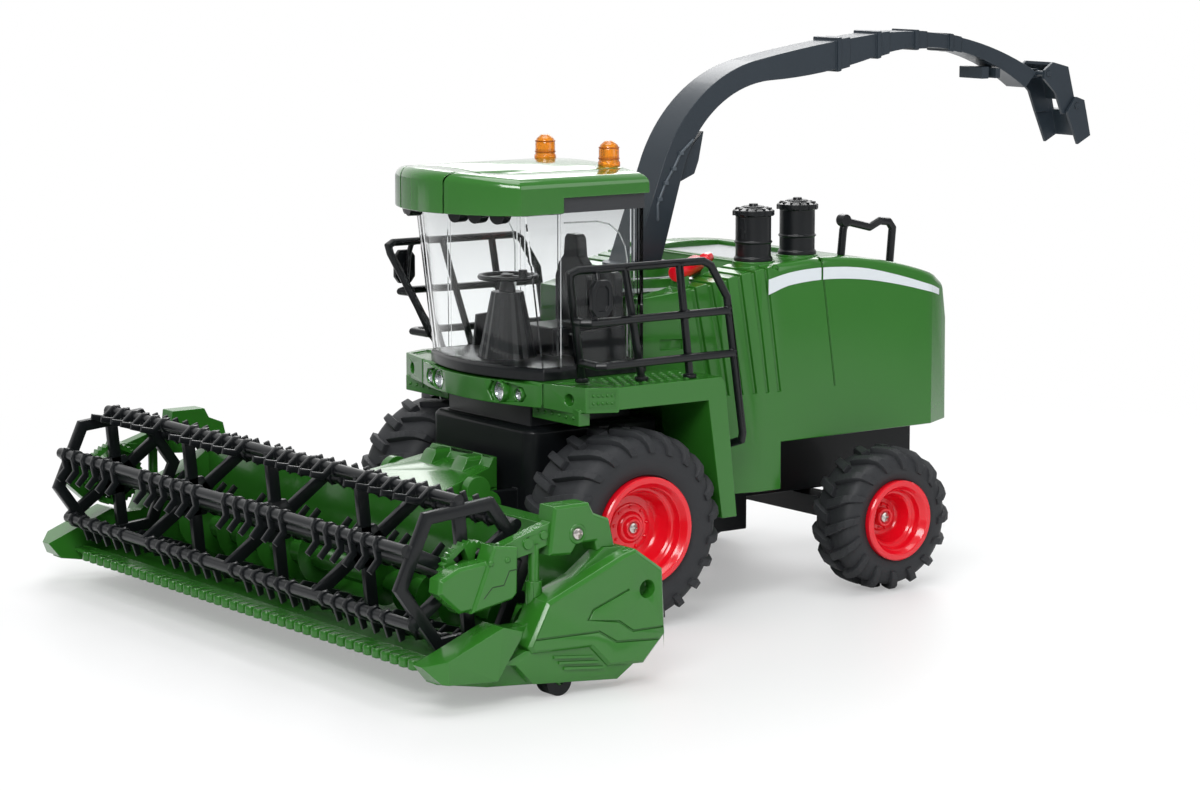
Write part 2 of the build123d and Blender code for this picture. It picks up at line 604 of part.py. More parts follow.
def engine_hood():
    """Ribbed hood with the well round the turntable, tread recess and rear louvres."""
    hood = hood_block(0)
    core = hood_block(RIB_GROOVE_DEPTH)
    grooves = [slanted_band(RIB_FIRST_Y + i * RIB_PITCH, RIB_GROOVE_W, RIB_LEAN) for i in range(RIBS)]
    grooves = grooves[0] + grooves[1:]
    hood -= both(grooves) - core
    hood -= both(slanted_band(PANEL_SEAM_Y, SEAM_W, RIB_LEAN)) - hood_block(SEAM_DEPTH)
    hood -= prism_x([(HOOD_FRONT_Y - 1, WELL_FLOOR_Z), (WELL_REAR_Y, WELL_FLOOR_Z),
                     (WELL_REAR_Y + 5, TREAD_PLATE_Z), (WELL_REAR_Y + 5, 110),
                     (HOOD_FRONT_Y - 1, 110)], -WELL_HALF, WELL_HALF)
    hood -= box(-27, 20, WELL_REAR_Y + 8, MIST_Y - 4.4, TREAD_PLATE_Z, 110)
    hood += rod_z(TURNTABLE_COLLAR_R, 0, SPOUT_Y, WELL_FLOOR_Z - 2, SPOUT_BASE_Z - 2.4)
    hood -= rod_z(TURNTABLE_R, 0, SPOUT_Y, TURNTABLE_Z, 110)
    hood -= box(-TUB_HALF, TUB_HALF, 0, TUB_REAR_Y, 28, DECK_TOP_Z - DECK_SKIRT)
    hood -= box(-BELLY_HALF, BELLY_HALF, TUB_REAR_Y, BELLY_STEP_Y, 28, HOOD_BOTTOM_Z)
    grip = prism_x([(27, 76.4), (33.4, 76.4), (33.4, 79.4), (27, 79.4)], WELL_HALF, 60)
    hood -= both(grip) - core
    slots = [box(-26, 26, HOOD_REAR_Y - 1.8, HOOD_REAR_Y + 1, HOOD_BOTTOM_Z + 7 + i * LOUVRE_PITCH,
                 HOOD_BOTTOM_Z + 9.2 + i * LOUVRE_PITCH) for i in range(LOUVRES)]
    hood -= slots
    for y, z in STACKS:
        hood += rod_z(STACK_R + 0.5, STACK_X, y, z - 4, z)
    hood += rod_z(3.8, MIST_X, MIST_Y, MIST_Z - 3, MIST_Z)
    hood += saddle(25, 36.0, BOTTLE_FRONT[2]) + saddle(20.5, 46.6, BOTTLE_FRONT[2] + 1.8)
    return hood - fire_bottle()


def drum_stacks():
    """Two ribbed drums with stepped lids."""
    r = STACK_R
    h = STACK_H
    outline = make_face(Polyline((0, 0), (r, 0), (r, 0.9), (r - 0.5, 1.4), (r - 0.5, 5.2), (r, 5.7),
                                 (r - 0.5, 6.2), (r - 0.5, h - 3.0), (r + 0.3, h - 2.6), (r + 0.3, h - 1.2),
                                 (r * 0.6, h - 0.4), (r * 0.55, h), (0, h), close=True))
    drum = revolve(Plane.XZ * outline, axis=Axis.Z)
    drums = [Pos(STACK_X, y, z) * drum for y, z in STACKS]
    return drums[0] + drums[1:]


def mist_outlet():
    return rod_z(3.0, MIST_X, MIST_Y, MIST_Z, MIST_Z + 10)


def fire_bottle():
    """Extinguisher lying in its cradles, neck to the rear."""
    line = Line(BOTTLE_FRONT, BOTTLE_REAR)
    length = line.length
    r = BOTTLE_R
    outline = make_face(Polyline((0, 0), (r - 0.5, 0), (r, 0.6), (r, length - 8), (r * 0.45, length - 5.6),
                                 (r * 0.45, length - 3.6), (r * 0.7, length - 3.4), (r * 0.6, length),
                                 (0, length), close=True))
    return Plane(origin=line @ 0, z_dir=line % 0) * revolve(Plane.XZ * outline, axis=Axis.Z)


def hood_handle():
    """Bent tube handle, its two feet on the hood."""
    x = HANDLE_X
    bent = tube([(x, 94.0, 99), (x, 95.0, 108.6), (x, 95.6, 110.4), (x, 97.4, 110.9), (x, 105.6, 108.9),
                 (x, 109.6, 110.6), (x, 113.2, 110.2), (x, 114.8, 108.2), (x, 113.6, 95)], HANDLE_R)
    knob = rod_x(1.9, x - 1.6, x + 1.6, 95.2, 111.6)
    return bent + knob - hood_block(0)


def railing():
    """Tubular guard of the left platform with its mirror."""
    r = RAIL_R
    x = RAIL_X
    top = RAIL_TOP_Z
    foot_z = DECK_TOP_Z
    frame = tube([(x - 11.6, -8.5, foot_z + 0.6), (x - 1.0, -20.2, top - 3.2), (x - 0.5, -20.6, top - 0.9),
                  (x, -18.6, top), (x, 26.6, top), (x, 29.4, top - 1.4), (x, 35.5, 94),
                  (x, 41.7, 53), (x - 0.8, 41.9, 50.6), (x - 6.5, 40.6, 48.6)], r)
    mid = tube([(x - 5.8, -15.2, 89.8), (x - 0.4, -16.2, 89.8), (x + 1.2, -14.4, 89.8),
                (x + 0.2, 36.2, 89.8)], r)
    low = tube([(x - 9.8, -10.6, 77), (x + 0.2, -11.4, 77), (x + 1.6, -9.4, 77), (x + 0.2, 38.1, 77)], r)
    posts = tube([(x - 4, 7.4, foot_z + 0.6), (x, -1.6, top)], r)
    posts += tube([(x - 1, 22.7, foot_z + 0.6), (x, 17.9, top)], r)
    feet = rod_z(2.0, x - 11.6, -8.5, foot_z, foot_z + 1.2) + rod_z(2.0, x - 4, 7.4, foot_z, foot_z + 1.2)
    feet += rod_z(2.0, x - 1, 22.7, foot_z, foot_z + 1.2)
    bracket = tube([(x, -11.6, top), (x + 1.4, -12.0, top - 4), (x + 1.4, -12.8, 93), (x + 0.9, -13, 89.8)],
                   0.9)
    loop = [(-2.0, -5.2), (2.0, -5.2), (3.6, -3.2), (3.6, 3.2), (2.0, 5.2), (-2.0, 5.2), (-3.6, 3.2),
            (-3.6, -3.2)]
    pod = Pos(x + 3.4, -12.4, 97) * (prism_x(loop, -0.8, 0.8)
                                     - prism_x([(0.6 * y, 0.7 * z) for y, z in loop], 0.1, 1))
    stay = box(x + 1.0, x + 3.2, -13.2, -11.8, 96, 98)
    return frame + mid + low + posts + feet + bracket + pod + stay


def spout_side(grow):
    """Side outline of the spout, larger all round by grow."""
    base = SPOUT_BASE_Z + 1.6
    outer = [(32.4 - grow, base), (44.0 - grow, 130.0), (80.0 - grow * 0.5, 160.0 + grow),
             (128.0, SPOUT_TOP_Z + grow), (198.0, 152.6 + grow)]
    inner = [(193.0, 147.6 - grow), (128.0, 159.6 - grow), (86.0, 153.6 - grow),
             (51.4 + grow, 127.0), (43.2 + grow, base)]
    up = Line(outer[0], outer[1])
    bend = TangentArc(outer[1], outer[2], tangent=up % 1)
    crown = TangentArc(outer[2], outer[3], tangent=bend % 1)
    fall = TangentArc(outer[3], outer[4], tangent=crown % 1)
    down = Line(inner[4], inner[3])
    in_bend = TangentArc(inner[3], inner[2], tangent=down % 1)
    in_crown = TangentArc(inner[2], inner[1], tangent=in_bend % 1)
    in_fall = TangentArc(inner[1], inner[0], tangent=in_crown % 1)
    mouth = Line(outer[4], inner[0])
    foot = Line(inner[4], outer[0])
    return make_face(up + bend + crown + fall + mouth + in_fall + in_crown + in_bend + down + foot)


def spout_body(grow):
    half_base = SPOUT_BASE_W / 2 + grow
    half_tip = SPOUT_TIP_W / 2 + grow
    side = extrude(Plane.YZ.offset(-10) * spout_side(grow), amount=20)
    plan = prism_z([(-half_base, 25), (half_base, 25), (half_base, 45), (half_tip, 205),
                    (-half_tip, 205), (-half_base, 45)], SPOUT_BASE_Z, SPOUT_TOP_Z + 10)
    return side & plan


def spout():
    """Curved crop spout with lapped collars, its turning flange and the flap's pin."""
    body = spout_body(0)
    knee = prism_x([(49.5, 123.0), (57.0, 126.0), (58.6, 130.0), (60.5, 139.0), (52, 131)], -4.6, 4.6)
    thick = spout_body(COLLAR_H)
    thin = spout_body(COLLAR_H / 2)
    bands = [thick & box(-10, 10, y, y + 1.6, 140, 180) for y in COLLARS]
    bands += [thin & box(-10, 10, y + 1.6, y + 5.4, 140, 180) for y in COLLARS]
    flange = rod_z(TURNTABLE_R - 1, 0, SPOUT_Y, SPOUT_BASE_Z, SPOUT_BASE_Z + 1.6)
    pivot = rod_z(PIVOT_R, 0, SPOUT_Y, SPOUT_BASE_Z - PIVOT_H, SPOUT_BASE_Z)
    reach = FLAP_HALF + FLAP_PLAY
    pin = rod_x(FLAP_PIN_R, -reach, reach, FLAP_Y, FLAP_Z)
    ear = box(-1.6, 1.6, FLAP_Y - 9, FLAP_Y, FLAP_Z - 1.5, FLAP_Z + 1.5)
    ear += rod_x(1.5, -1.6, 1.6, FLAP_Y, FLAP_Z)
    bracket = box(-5.6, 5.6, 173, 176, 151.2, 155) + box(-5.6, 5.6, 179, 181, 151.2, 154.4)
    bracket += box(-1.2, 1.2, 173, 181, 151.2, 155)
    return body + knee + bands + flange + pivot + ear + pin + bracket


def spout_turntable():
    ring = rod_z(TURNTABLE_R, 0, SPOUT_Y, TURNTABLE_Z, SPOUT_BASE_Z)
    return ring - rod_z(PIVOT_R + RUN_GAP, 0, SPOUT_Y, SPOUT_BASE_Z - PIVOT_H - 0.1, SPOUT_BASE_Z + 1)


def deflector():
    """Channel of two cheeks and a back, open to the front, hung on the spout's pin."""
    y = FLAP_Y
    z = FLAP_Z
    cheek = prism_x([(y - 1.8, z - 1.6), (y - 1.8, z + 1.2), (y + 2, z + 3.8), (y + 8.8, z + 2.1),
                     (TIP_Y + 0.3, TIP_Z + 2), (TIP_Y + 0.8, TIP_Z - 2.6), (TIP_Y - 5.1, TIP_Z - 2.6),
                     (TIP_Y - 8.1, TIP_Z + 4.4)], FLAP_HALF - FLAP_T, FLAP_HALF)
    cheek -= rod_x(FLAP_PIN_R + RUN_GAP, 0, 9, y, z)
    back = prism_x([(y + 2, z + 3.8), (y + 8.8, z + 2.1), (TIP_Y + 0.3, TIP_Z + 2),
                    (TIP_Y - 0.6, TIP_Z + 1.7), (y + 7.9, z + 1.2), (y + 1.8, z + 2.7)],
                   -FLAP_HALF, FLAP_HALF)
    pin = rod_x(FLAP_PIN_R, FLAP_HALF - FLAP_T, FLAP_HALF + FLAP_PLAY + FLAP_T + 0.2, TIP_Y, TIP_Z)
    return both(cheek + pin) + back


def deflector_tip():
    """Second flap, riding outside the first one's cheeks."""
    inner = FLAP_HALF + FLAP_PLAY
    y = TIP_Y
    z = TIP_Z
    end = FLAP_END_Y
    cheek = prism_x([(y - 4.2, z - 1.8), (y - 0.2, z + 3.0), (y + 3.4, z + 1.8), (end, z - 10.0),
                     (y + 0.8, z - 12.8)], inner, inner + FLAP_T)
    cheek -= rod_x(FLAP_PIN_R + RUN_GAP, 0, 9, y, z)
    back = prism_x([(y + 4.3, z - 1.6), (end, z - 10.0), (end - 1.0, z - 10.5), (y + 3.3, z - 2.0)],
                   -inner - FLAP_T, inner + FLAP_T)
    return both(cheek) + back


def trough_arc(radius, down):
    """Quarter of the auger trough, from its lowest point up to the back wall or the other way."""
    low = (AUGER_Y, AUGER_Z - radius)
    mid = (AUGER_Y + radius * math.sqrt(0.5), AUGER_Z - radius * math.sqrt(0.5))
    back = (AUGER_Y + radius, AUGER_Z)
    return ThreePointArc(back, mid, low) if down else ThreePointArc(low, mid, back)


def header_table():
    """Floor, auger trough and back wall as one bent sheet, with the toothed lip in front."""
    r = TROUGH_R
    r2 = TROUGH_R + WALL
    front = TABLE_FRONT_Y
    top = TABLE_TOP_Z
    wall_y = AUGER_Y + r
    outline = (Polyline((AUGER_Y, AUGER_Z - r2), (front + 3, 7.6), (front, 9.6), (front, 10.6),
                        (front + 2.6, 10.8), (front + 3.4, 11.3), (front + 5.4, 10.2),
                        (AUGER_Y, AUGER_Z - r))
               + trough_arc(r, False)
               + Polyline((wall_y, AUGER_Z), (wall_y, top), (wall_y + 6.8, top), (wall_y + 6.8, top - 1.4),
                          (wall_y + WALL, top - 1.4), (wall_y + WALL, AUGER_Z))
               + trough_arc(r2, True))
    sheet = extrude(Plane.YZ.offset(-TABLE_HALF) * make_face(outline), amount=2 * TABLE_HALF)
    count = int(2 * (TABLE_HALF - TOOTH_MARGIN) / TOOTH_PITCH)
    half = TOOTH_W / 2
    tooth = prism_z([(-half, front + 3), (-half, front - 1.2), (-half * 0.5, front - 2.6),
                     (half * 0.5, front - 2.6), (half, front - 1.2), (half, front + 3)], 8.4, 11.2)
    teeth = [Pos((i - (count - 1) / 2) * TOOTH_PITCH, 0, 0) * tooth for i in range(count)]
    return sheet + teeth


def feeder_mount():
    """Sloped feeder hood behind the table, with the ears and pins that carry the header."""
    wall_y = AUGER_Y + TROUGH_R + WALL
    rear = LIFT_Y + 7.7
    slope = prism_x([(wall_y + 5, TABLE_TOP_Z - 2.2), (wall_y + 5, TABLE_TOP_Z - 0.2), (rear - 3.4, 45.0),
                     (rear - 1.6, 47.7), (rear, 47.7), (rear, TABLE_TOP_Z - 2.2)], -30, 30)
    plan = prism_z([(-22.8, wall_y), (22.8, wall_y), (16.2, rear), (-16.2, rear)], 10, 60)
    walls = box(14.2, 16.2, wall_y, rear, LIFT_Z - 13, TABLE_TOP_Z - 2.2)
    x0 = EAR_X - EAR_T / 2
    x1 = EAR_X + EAR_T / 2
    ear = prism_x([(LIFT_Y - 7.9, LIFT_Z - 11), (LIFT_Y + 0.5, LIFT_Z - 11), (LIFT_Y + 0.5, LIFT_Z + 4.7),
                   (LIFT_Y - 7.9, LIFT_Z + 4.7)], x0, x1)
    ear += rod_x(EAR_R, x0, x1, LIFT_Y - 3.7, LIFT_Z + 4.7) + rod_x(EAR_R, x0, x1, LIFT_Y, LIFT_Z)
    pin = rod_x(LIFT_PIN_R, 15, x1 + 1, LIFT_Y, LIFT_Z)
    bridge = box(16.2, x1, wall_y, LIFT_Y - 5, LIFT_Z - 11, LIFT_Z - 1)
    block = prism_x([(LIFT_Y - 2, 43.0), (LIFT_Y + 0.6, 47.6), (LIFT_Y + 6.1, 47.6), (LIFT_Y + 6.1, 43.0)],
                    5.2, 11.6)
    block = chamfer(block.faces().sort_by(Axis.Z)[-1].edges().filter_by(Axis.Y), 1.0)
    return (slope & plan) + both(walls + ear + pin + bridge + block)


def end_cover():
    """Faceted side cover of the header with its nose, slatted skirt and roller pocket."""
    x0 = TABLE_HALF
    x1 = TABLE_HALF + COVER_W
    mid = x0 + 5
    plate = prism_x([(NOSE_Y + 3, 11.5), (NOSE_Y + 4, 7.8), (-90, 5.0), (-50.0, 2.0), (-41.4, 5.9),
                     (-34.9, 12.6), (-35.9, 31.3), (-45.0, 37.7), (-52, 38.2), (-78, 20), (-84, 20)],
                    x0, mid)
    nose = prism_x([(NOSE_Y, 12.8), (NOSE_Y + 3.6, 8.4), (-90, 7.4), (-82.8, 17.6), (-82.0, 19.8),
                    (-88, 21.6)], x0, x1)
    nose &= prism_z([(x0, NOSE_Y - 1), (x0 + 3, NOSE_Y - 1), (x1 + 1, NOSE_Y + 5.5), (x1 + 1, -80),
                     (x0, -80)], 0, 60)
    shield = prism_x([(-79.9, 15.1), (-73.9, 26.5), (-49.3, 36.4), (-45.0, 37.7), (-35.9, 31.3),
                      (-35.0, 13.3), (-42.1, 6.1), (-53.9, 6.7), (-59.7, 12.6), (-78.4, 13.2)], x0, x1)
    shield = chamfer(shield.faces().sort_by(Axis.X)[-1].edges(), 0.9)
    skirt = prism_x([(-88.0, 11.2), (-83.3, 10.6), (-77.7, 4.8), (-50.4, 2.6), (-44.5, 6.4), (-53, 14),
                     (-80, 14)], x0, x1 - 1.4)
    slats = [prism_x([(-71.5 + 1.6 * i, 11.7 - 1.7 * i), (-58.5 + 1.6 * i, 10.3 - 1.7 * i),
                      (-58.5 + 1.6 * i, 9.5 - 1.7 * i), (-71.5 + 1.6 * i, 10.9 - 1.7 * i)], mid, x1 - 0.7)
             for i in range(3)]
    step = prism_x([(-77.5, 17.2), (-57.2, 16.9), (-51.4, 13.4), (-36, 12.3), (-36, 11.8), (-51.6, 12.9),
                    (-57.4, 16.4), (-77.7, 16.7)], x1 - 0.6, x1 + 1)
    arrow = prism_x([(-61.3, 20.2), (-59.3, 23.1), (-47.5, 27.2), (-47.2, 26.7), (-58.9, 22.6),
                     (-60.6, 20.1), (-50.6, 18.9), (-45.9, 15.7), (-36, 15.7), (-36, 15.2),
                     (-46.1, 15.2), (-50.8, 18.4)], x1 - 0.6, x1 + 1)
    roller_x = x0 + 4
    reach = ROLLER_W / 2 + 0.4
    pocket = rod_x(ROLLER_R + 0.6, roller_x - reach, roller_x + reach, ROLLER_Y, ROLLER_R)
    pin = rod_x(ROLLER_PIN_R, roller_x - reach - 0.2, roller_x + reach + 0.2, ROLLER_Y, ROLLER_R)
    hole = rod_x(2.5, x1 - 4, x1 + 1, -41.4, 26.4)
    return plate + nose + shield + skirt + slats - pocket - hole - step - arrow + pin


def reel_arm():
    """Screwed housing, arm, gear cover and post of one side, seated on the end cover."""
    x = TABLE_HALF
    housing = prism_x([(-69.3, 37.5), (-67.6, 50.6), (-56.2, 50.6), (-54.6, 47.6), (-49.6, 45.6),
                       (-46.6, 33.6), (-52.6, 33.6), (-54.2, 39.8), (-60.0, 39.8), (-62.0, 37.0)],
                      x - 2.9, x + 4.1)
    housing = chamfer(housing.faces().sort_by(Axis.X)[-1].edges(), 0.7)
    arm = prism_x([(-84, 36.4), (-84, 41.4), (-66, 47), (-66, 41)], x - 1.1, x + 2.7)
    arm += rod_x(1.5, x + 2.7, x + 3.4, -75.5, 41.4) + rod_x(1.2, x + 2.7, x + 3.4, -70.4, 43.2)
    cover = prism_x([(-94.5, 24.9), (-87.2, 42.3), (-79.6, 41.3), (-79.9, 28.8), (-81.4, 27.4)],
                    x - 1.5, x + 4.7)
    cover = chamfer(cover.faces().sort_by(Axis.X)[-1].edges(), 0.6)
    horn = prism_x([(-104, 31.1), (-103.6, 34.8), (-97.4, 37.4), (-87, 38.4), (-87, 26.0), (-97.4, 25.2)],
                   x - 1.5, x + 3.8)
    horn = chamfer(horn.faces().sort_by(Axis.X)[-1].edges(), 0.8)
    post = rod_z(1.5, x + 1.3, -72.6, 20, 41) + rod_z(2.3, x + 1.3, -72.6, 20, 31)
    gear_x = x - REEL_PLAY + GEAR_GAP + GEAR_W
    bearing = rod_x(4.0, gear_x + 0.6, x - 0.9, REEL_Y, REEL_Z)
    bore = rod_x(REEL_PIN_R + RUN_GAP, x - 4, x + 1.9, REEL_Y, REEL_Z)
    return housing + arm + cover + horn + post + bearing - bore - end_cover() - header_table()


def hexagon_point(radius, turn):
    angle = math.radians(REEL_TURN + turn)
    return (REEL_Y + radius * math.cos(angle), REEL_Z + radius * math.sin(angle))


def ring_points(radius, sides, y, z):
    step = 2 * math.pi / sides
    return [(y + radius * math.cos(i * step), z + radius * math.sin(i * step)) for i in range(sides)]


def spider(x, ring):
    """Hexagonal hub with an arm to each bar, the end ones with a rim of links."""
    t = SPIDER_T
    arms = [Pos(x, REEL_Y, REEL_Z) * Rot(REEL_TURN + 60 * i, 0, 0)
            * Pos(0, REEL_BAR_R / 2, 0) * Box(t, REEL_BAR_R, 3.6) for i in range(REEL_BARS)]
    hub = prism_x([hexagon_point(6.8, 60 * i) for i in range(REEL_BARS)], x - t / 2, x + t / 2)
    web = hub + arms
    if ring:
        outer = prism_x([hexagon_point(REEL_BAR_R + 1.6, 60 * i) for i in range(REEL_BARS)],
                        x - t / 2, x + t / 2)
        inner = prism_x([hexagon_point(REEL_BAR_R - 2.2, 60 * i) for i in range(REEL_BARS)], x - t, x + t)
        web += outer - inner
    return web


def tine():
    """Collar and kinked finger of one tine, thin along X, on a bar at radius REEL_BAR_R."""
    r = REEL_BAR_R
    points = [(r + 1.9, -1.5), (r + 2.1, 1.4), (r + 0.6, 4.2), (r - 1.0, 7.6), (r - 2.4, 7.0),
              (r - 1.4, 3.6), (r - 1.9, -1.5)]
    return prism_x(points, -TINE_T / 2, TINE_T / 2)


def reel():
    """Six-bar tined reel on one shaft."""
    half = TABLE_HALF - REEL_PLAY
    bay = 2 * half / REEL_BAYS
    body = prism_x(ring_points(REEL_SHAFT_R, TUBE_SIDES, REEL_Y, REEL_Z), -half, half)
    pieces = []
    for i in range(REEL_BAYS + 1):
        x = -half + SPIDER_T / 2 + i * (2 * half - SPIDER_T) / REEL_BAYS
        pieces.append(spider(x, i in (0, REEL_BAYS)))
    tab = tine()
    for bar in range(REEL_BARS):
        y, z = hexagon_point(REEL_BAR_R, 60 * bar)
        pieces.append(prism_x(ring_points(BAR_R, 6, y, z), -half, half))
        turn = Pos(0, REEL_Y, REEL_Z) * Rot(REEL_TURN + 60 * bar, 0, 0)
        for i in range(REEL_BAYS):
            for k in range(TINES):
                pieces.append(turn * Pos(-half + i * bay + TINE_FIRST + k * TINE_PITCH, 0, 0) * tab)
    return body + pieces


def reel_gear():
    """Fine-toothed drive gear pressed on the reel's end, with six windows."""
    half = TABLE_HALF - REEL_PLAY
    points = []
    for i in range(GEAR_TEETH):
        for part, radius in ((0.0, GEAR_R - 0.7), (0.5, GEAR_R)):
            angle = 2 * math.pi * (i + part) / GEAR_TEETH
            points.append((REEL_Y + radius * math.cos(angle), REEL_Z + radius * math.sin(angle)))
    disc = prism_x(points, half + GEAR_GAP, half + GEAR_GAP + GEAR_W)
    window = prism_x([(4.2, -1.4), (4.6, 1.6), (7.4, 2.4), (7.9, -2.0)], half, half + 4)
    cuts = [Pos(0, REEL_Y, REEL_Z) * Rot(60 * i, 0, 0) * window for i in range(6)]
    pin = rod_x(REEL_PIN_R, half + GEAR_GAP, TABLE_HALF + 1.1, REEL_Y, REEL_Z)
    return disc - cuts + pin


def flight(turns, hand):
    """Helical flight of flat segments about the X axis, one radial strip per step."""
    strips = []
    for i in range(int(turns * FLIGHT_STEPS) + 1):
        angle = math.radians(hand * 360 * i / FLIGHT_STEPS)
        plane = Plane(origin=(AUGER_PITCH * i / FLIGHT_STEPS, 0, 0),
                      x_dir=(0, math.cos(angle), math.sin(angle)),
                      z_dir=(0, -math.sin(angle), math.cos(angle)))
        middle = (AUGER_R + AUGER_CORE_R - 0.6) / 2
        strips.append(plane * Pos(middle, 0) * Rectangle(AUGER_R - AUGER_CORE_R + 0.6, FLIGHT_T))
    return loft(strips, ruled=True)


def auger():
    """Cross auger, its two flights wound to feed the middle."""
    half = TABLE_HALF - AUGER_PLAY
    place = Pos(0, AUGER_Y, AUGER_Z)
    core = rod_x(AUGER_CORE_R, -half, half, AUGER_Y, AUGER_Z)
    pin = rod_x(REEL_PIN_R, -TABLE_HALF + 0.5, TABLE_HALF - 0.5, AUGER_Y, AUGER_Z)
    turns = (half - AUGER_GAP - 2) / AUGER_PITCH
    right = place * Pos(AUGER_GAP, 0, 0) * flight(turns, -1)
    left = mirrored(right)
    return core + pin + right + left


def ground_roller():
    x = TABLE_HALF + 4
    wheel = rod_x(ROLLER_R, x - ROLLER_W / 2, x + ROLLER_W / 2, ROLLER_Y, ROLLER_R)
    return wheel - rod_x(ROLLER_PIN_R + RUN_GAP, x - ROLLER_W, x + ROLLER_W, ROLLER_Y, ROLLER_R)


def export_node(part, name):
    export_step(Pos(0, -MID_Y, 0) * part, f"parts/{name}.step")


def main():
    os.makedirs("parts", exist_ok=True)
    front_tyre, front_rim = wheel_pair(True)
    rear_tyre, rear_rim = wheel_pair(False)
    roof = cab_roof()
    sided = {
        "front_tyre": front_tyre, "front_rim": front_rim, "rear_tyre": rear_tyre,
        "rear_rim": rear_rim, "knuckle": knuckle(), "railing": railing(),
        "end_cover": end_cover(), "reel_arm": reel_arm(), "ground_roller": ground_roller(),
    }
    single = {
        "front_axle": front_axle(), "rear_axle": rear_axle(), "steering_rack": steering_rack(),
        "chassis_tub": chassis_tub(), "fender_deck": fender_deck(), "headlamps": headlamps(),
        "cab_base": cab_base(), "cab_glazing": cab_glazing(), "cab_roof": roof,
        "roof_liner": roof_liner(), "roof_lamps": roof_lamps(), "beacons": beacons(roof),
        "steering_console": steering_console(), "steering_wheel": steering_wheel(),
        "driver_seat": driver_seat(), "engine_hood": engine_hood(), "drum_stacks": drum_stacks(),
        "mist_outlet": mist_outlet(), "fire_bottle": fire_bottle(), "hood_handle": hood_handle(),
        "spout_turntable": spout_turntable(), "spout": spout(), "deflector": deflector(),
        "deflector_tip": deflector_tip(), "header_table": header_table(),
        "feeder_mount": feeder_mount(), "reel": reel(), "reel_gears": both(reel_gear()),
        "auger": auger(),
    }
    for name, part in sided.items():
        export_node(part, name + "_left")
        export_node(mirrored(part), name + "_right")
    for name, part in single.items():
        export_node(part, name)


main()
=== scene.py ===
import json
import math

import bmesh
import bpy
from mathutils import Matrix, Vector


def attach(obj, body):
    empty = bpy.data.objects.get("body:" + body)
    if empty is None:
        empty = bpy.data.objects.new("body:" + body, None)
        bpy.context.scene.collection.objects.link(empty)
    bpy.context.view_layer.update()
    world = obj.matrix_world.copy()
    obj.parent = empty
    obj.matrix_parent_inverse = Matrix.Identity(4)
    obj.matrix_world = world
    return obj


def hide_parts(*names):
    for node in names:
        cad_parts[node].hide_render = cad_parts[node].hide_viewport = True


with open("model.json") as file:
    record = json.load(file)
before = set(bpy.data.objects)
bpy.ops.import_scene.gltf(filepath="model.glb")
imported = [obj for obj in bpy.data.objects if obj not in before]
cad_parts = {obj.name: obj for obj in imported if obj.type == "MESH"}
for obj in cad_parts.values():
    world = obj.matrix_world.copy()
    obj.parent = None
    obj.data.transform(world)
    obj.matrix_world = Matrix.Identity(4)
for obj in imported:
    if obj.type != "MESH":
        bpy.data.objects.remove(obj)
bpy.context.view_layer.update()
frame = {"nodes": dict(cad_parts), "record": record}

# Chassis tub, rear beam, knuckles and steering rack.
# Black ABS mouldings, semi-matt with the fine grain of an eroded mould. The tub carries the rest,
# the beam's forks hold the knuckles, and every outer edge of the tub has a small radius.
BLACK_ABS = (0.0058, 0.0070, 0.0080)
TUB_EDGE = 0.45
WELD = 2e-6
FLAT = 0.8
MIDDLE_Y = 0.0545
TO_FRAME = Matrix.Translation((0.0, -MIDDLE_Y, 0.0)) @ Matrix.Scale(0.001, 4)


def moulded(name, colour, rough, grain, depth, coat=0.0, drift=0.12, specular=0.5):
    """Injection-moulded plastic: slow colour drift, uneven polish and a fine moulded grain."""
    mat = bpy.data.materials.new(name)
    mat.use_nodes = True
    nodes, links = mat.node_tree.nodes, mat.node_tree.links
    shader = nodes["Principled BSDF"]
    where = nodes.new("ShaderNodeTexCoord").outputs["Object"]
    cloud = nodes.new("ShaderNodeTexNoise")
    cloud.inputs["Scale"].default_value = 22.0
    cloud.inputs["Detail"].default_value = 3.0
    links.new(where, cloud.inputs["Vector"])
    tint = nodes.new("ShaderNodeMix")
    tint.data_type = "RGBA"
    tint.inputs["A"].default_value = (*[c * (1 - drift) for c in colour], 1)
    tint.inputs["B"].default_value = (*[c * (1 + drift) for c in colour], 1)
    links.new(cloud.outputs["Fac"], tint.inputs["Factor"])
    links.new(tint.outputs["Result"], shader.inputs["Base Color"])
    polish = nodes.new("ShaderNodeMapRange")
    polish.inputs["To Min"].default_value = rough * 0.85
    polish.inputs["To Max"].default_value = rough * 1.2
    links.new(cloud.outputs["Fac"], polish.inputs["Value"])
    links.new(polish.outputs["Result"], shader.inputs["Roughness"])
    fine = nodes.new("ShaderNodeTexNoise")
    fine.inputs["Scale"].default_value = grain
    fine.inputs["Detail"].default_value = 2.0
    links.new(where, fine.inputs["Vector"])
    bump = nodes.new("ShaderNodeBump")
    bump.inputs["Strength"].default_value = depth
    bump.inputs["Distance"].default_value = 0.0001
    links.new(fine.outputs["Fac"], bump.inputs["Height"])
    links.new(bump.outputs["Normal"], shader.inputs["Normal"])
    shader.inputs["Coat Weight"].default_value = coat
    shader.inputs["Coat Roughness"].default_value = 0.08
    shader.inputs["IOR"].default_value = 1.46
    shader.inputs["Specular IOR Level"].default_value = specular
    return mat


def dress(material, *nodes):
    """Gives CAD pieces that keep their own mesh a finish."""
    for node in nodes:
        for item in frame["nodes"][node].material_slots:
            item.material = material


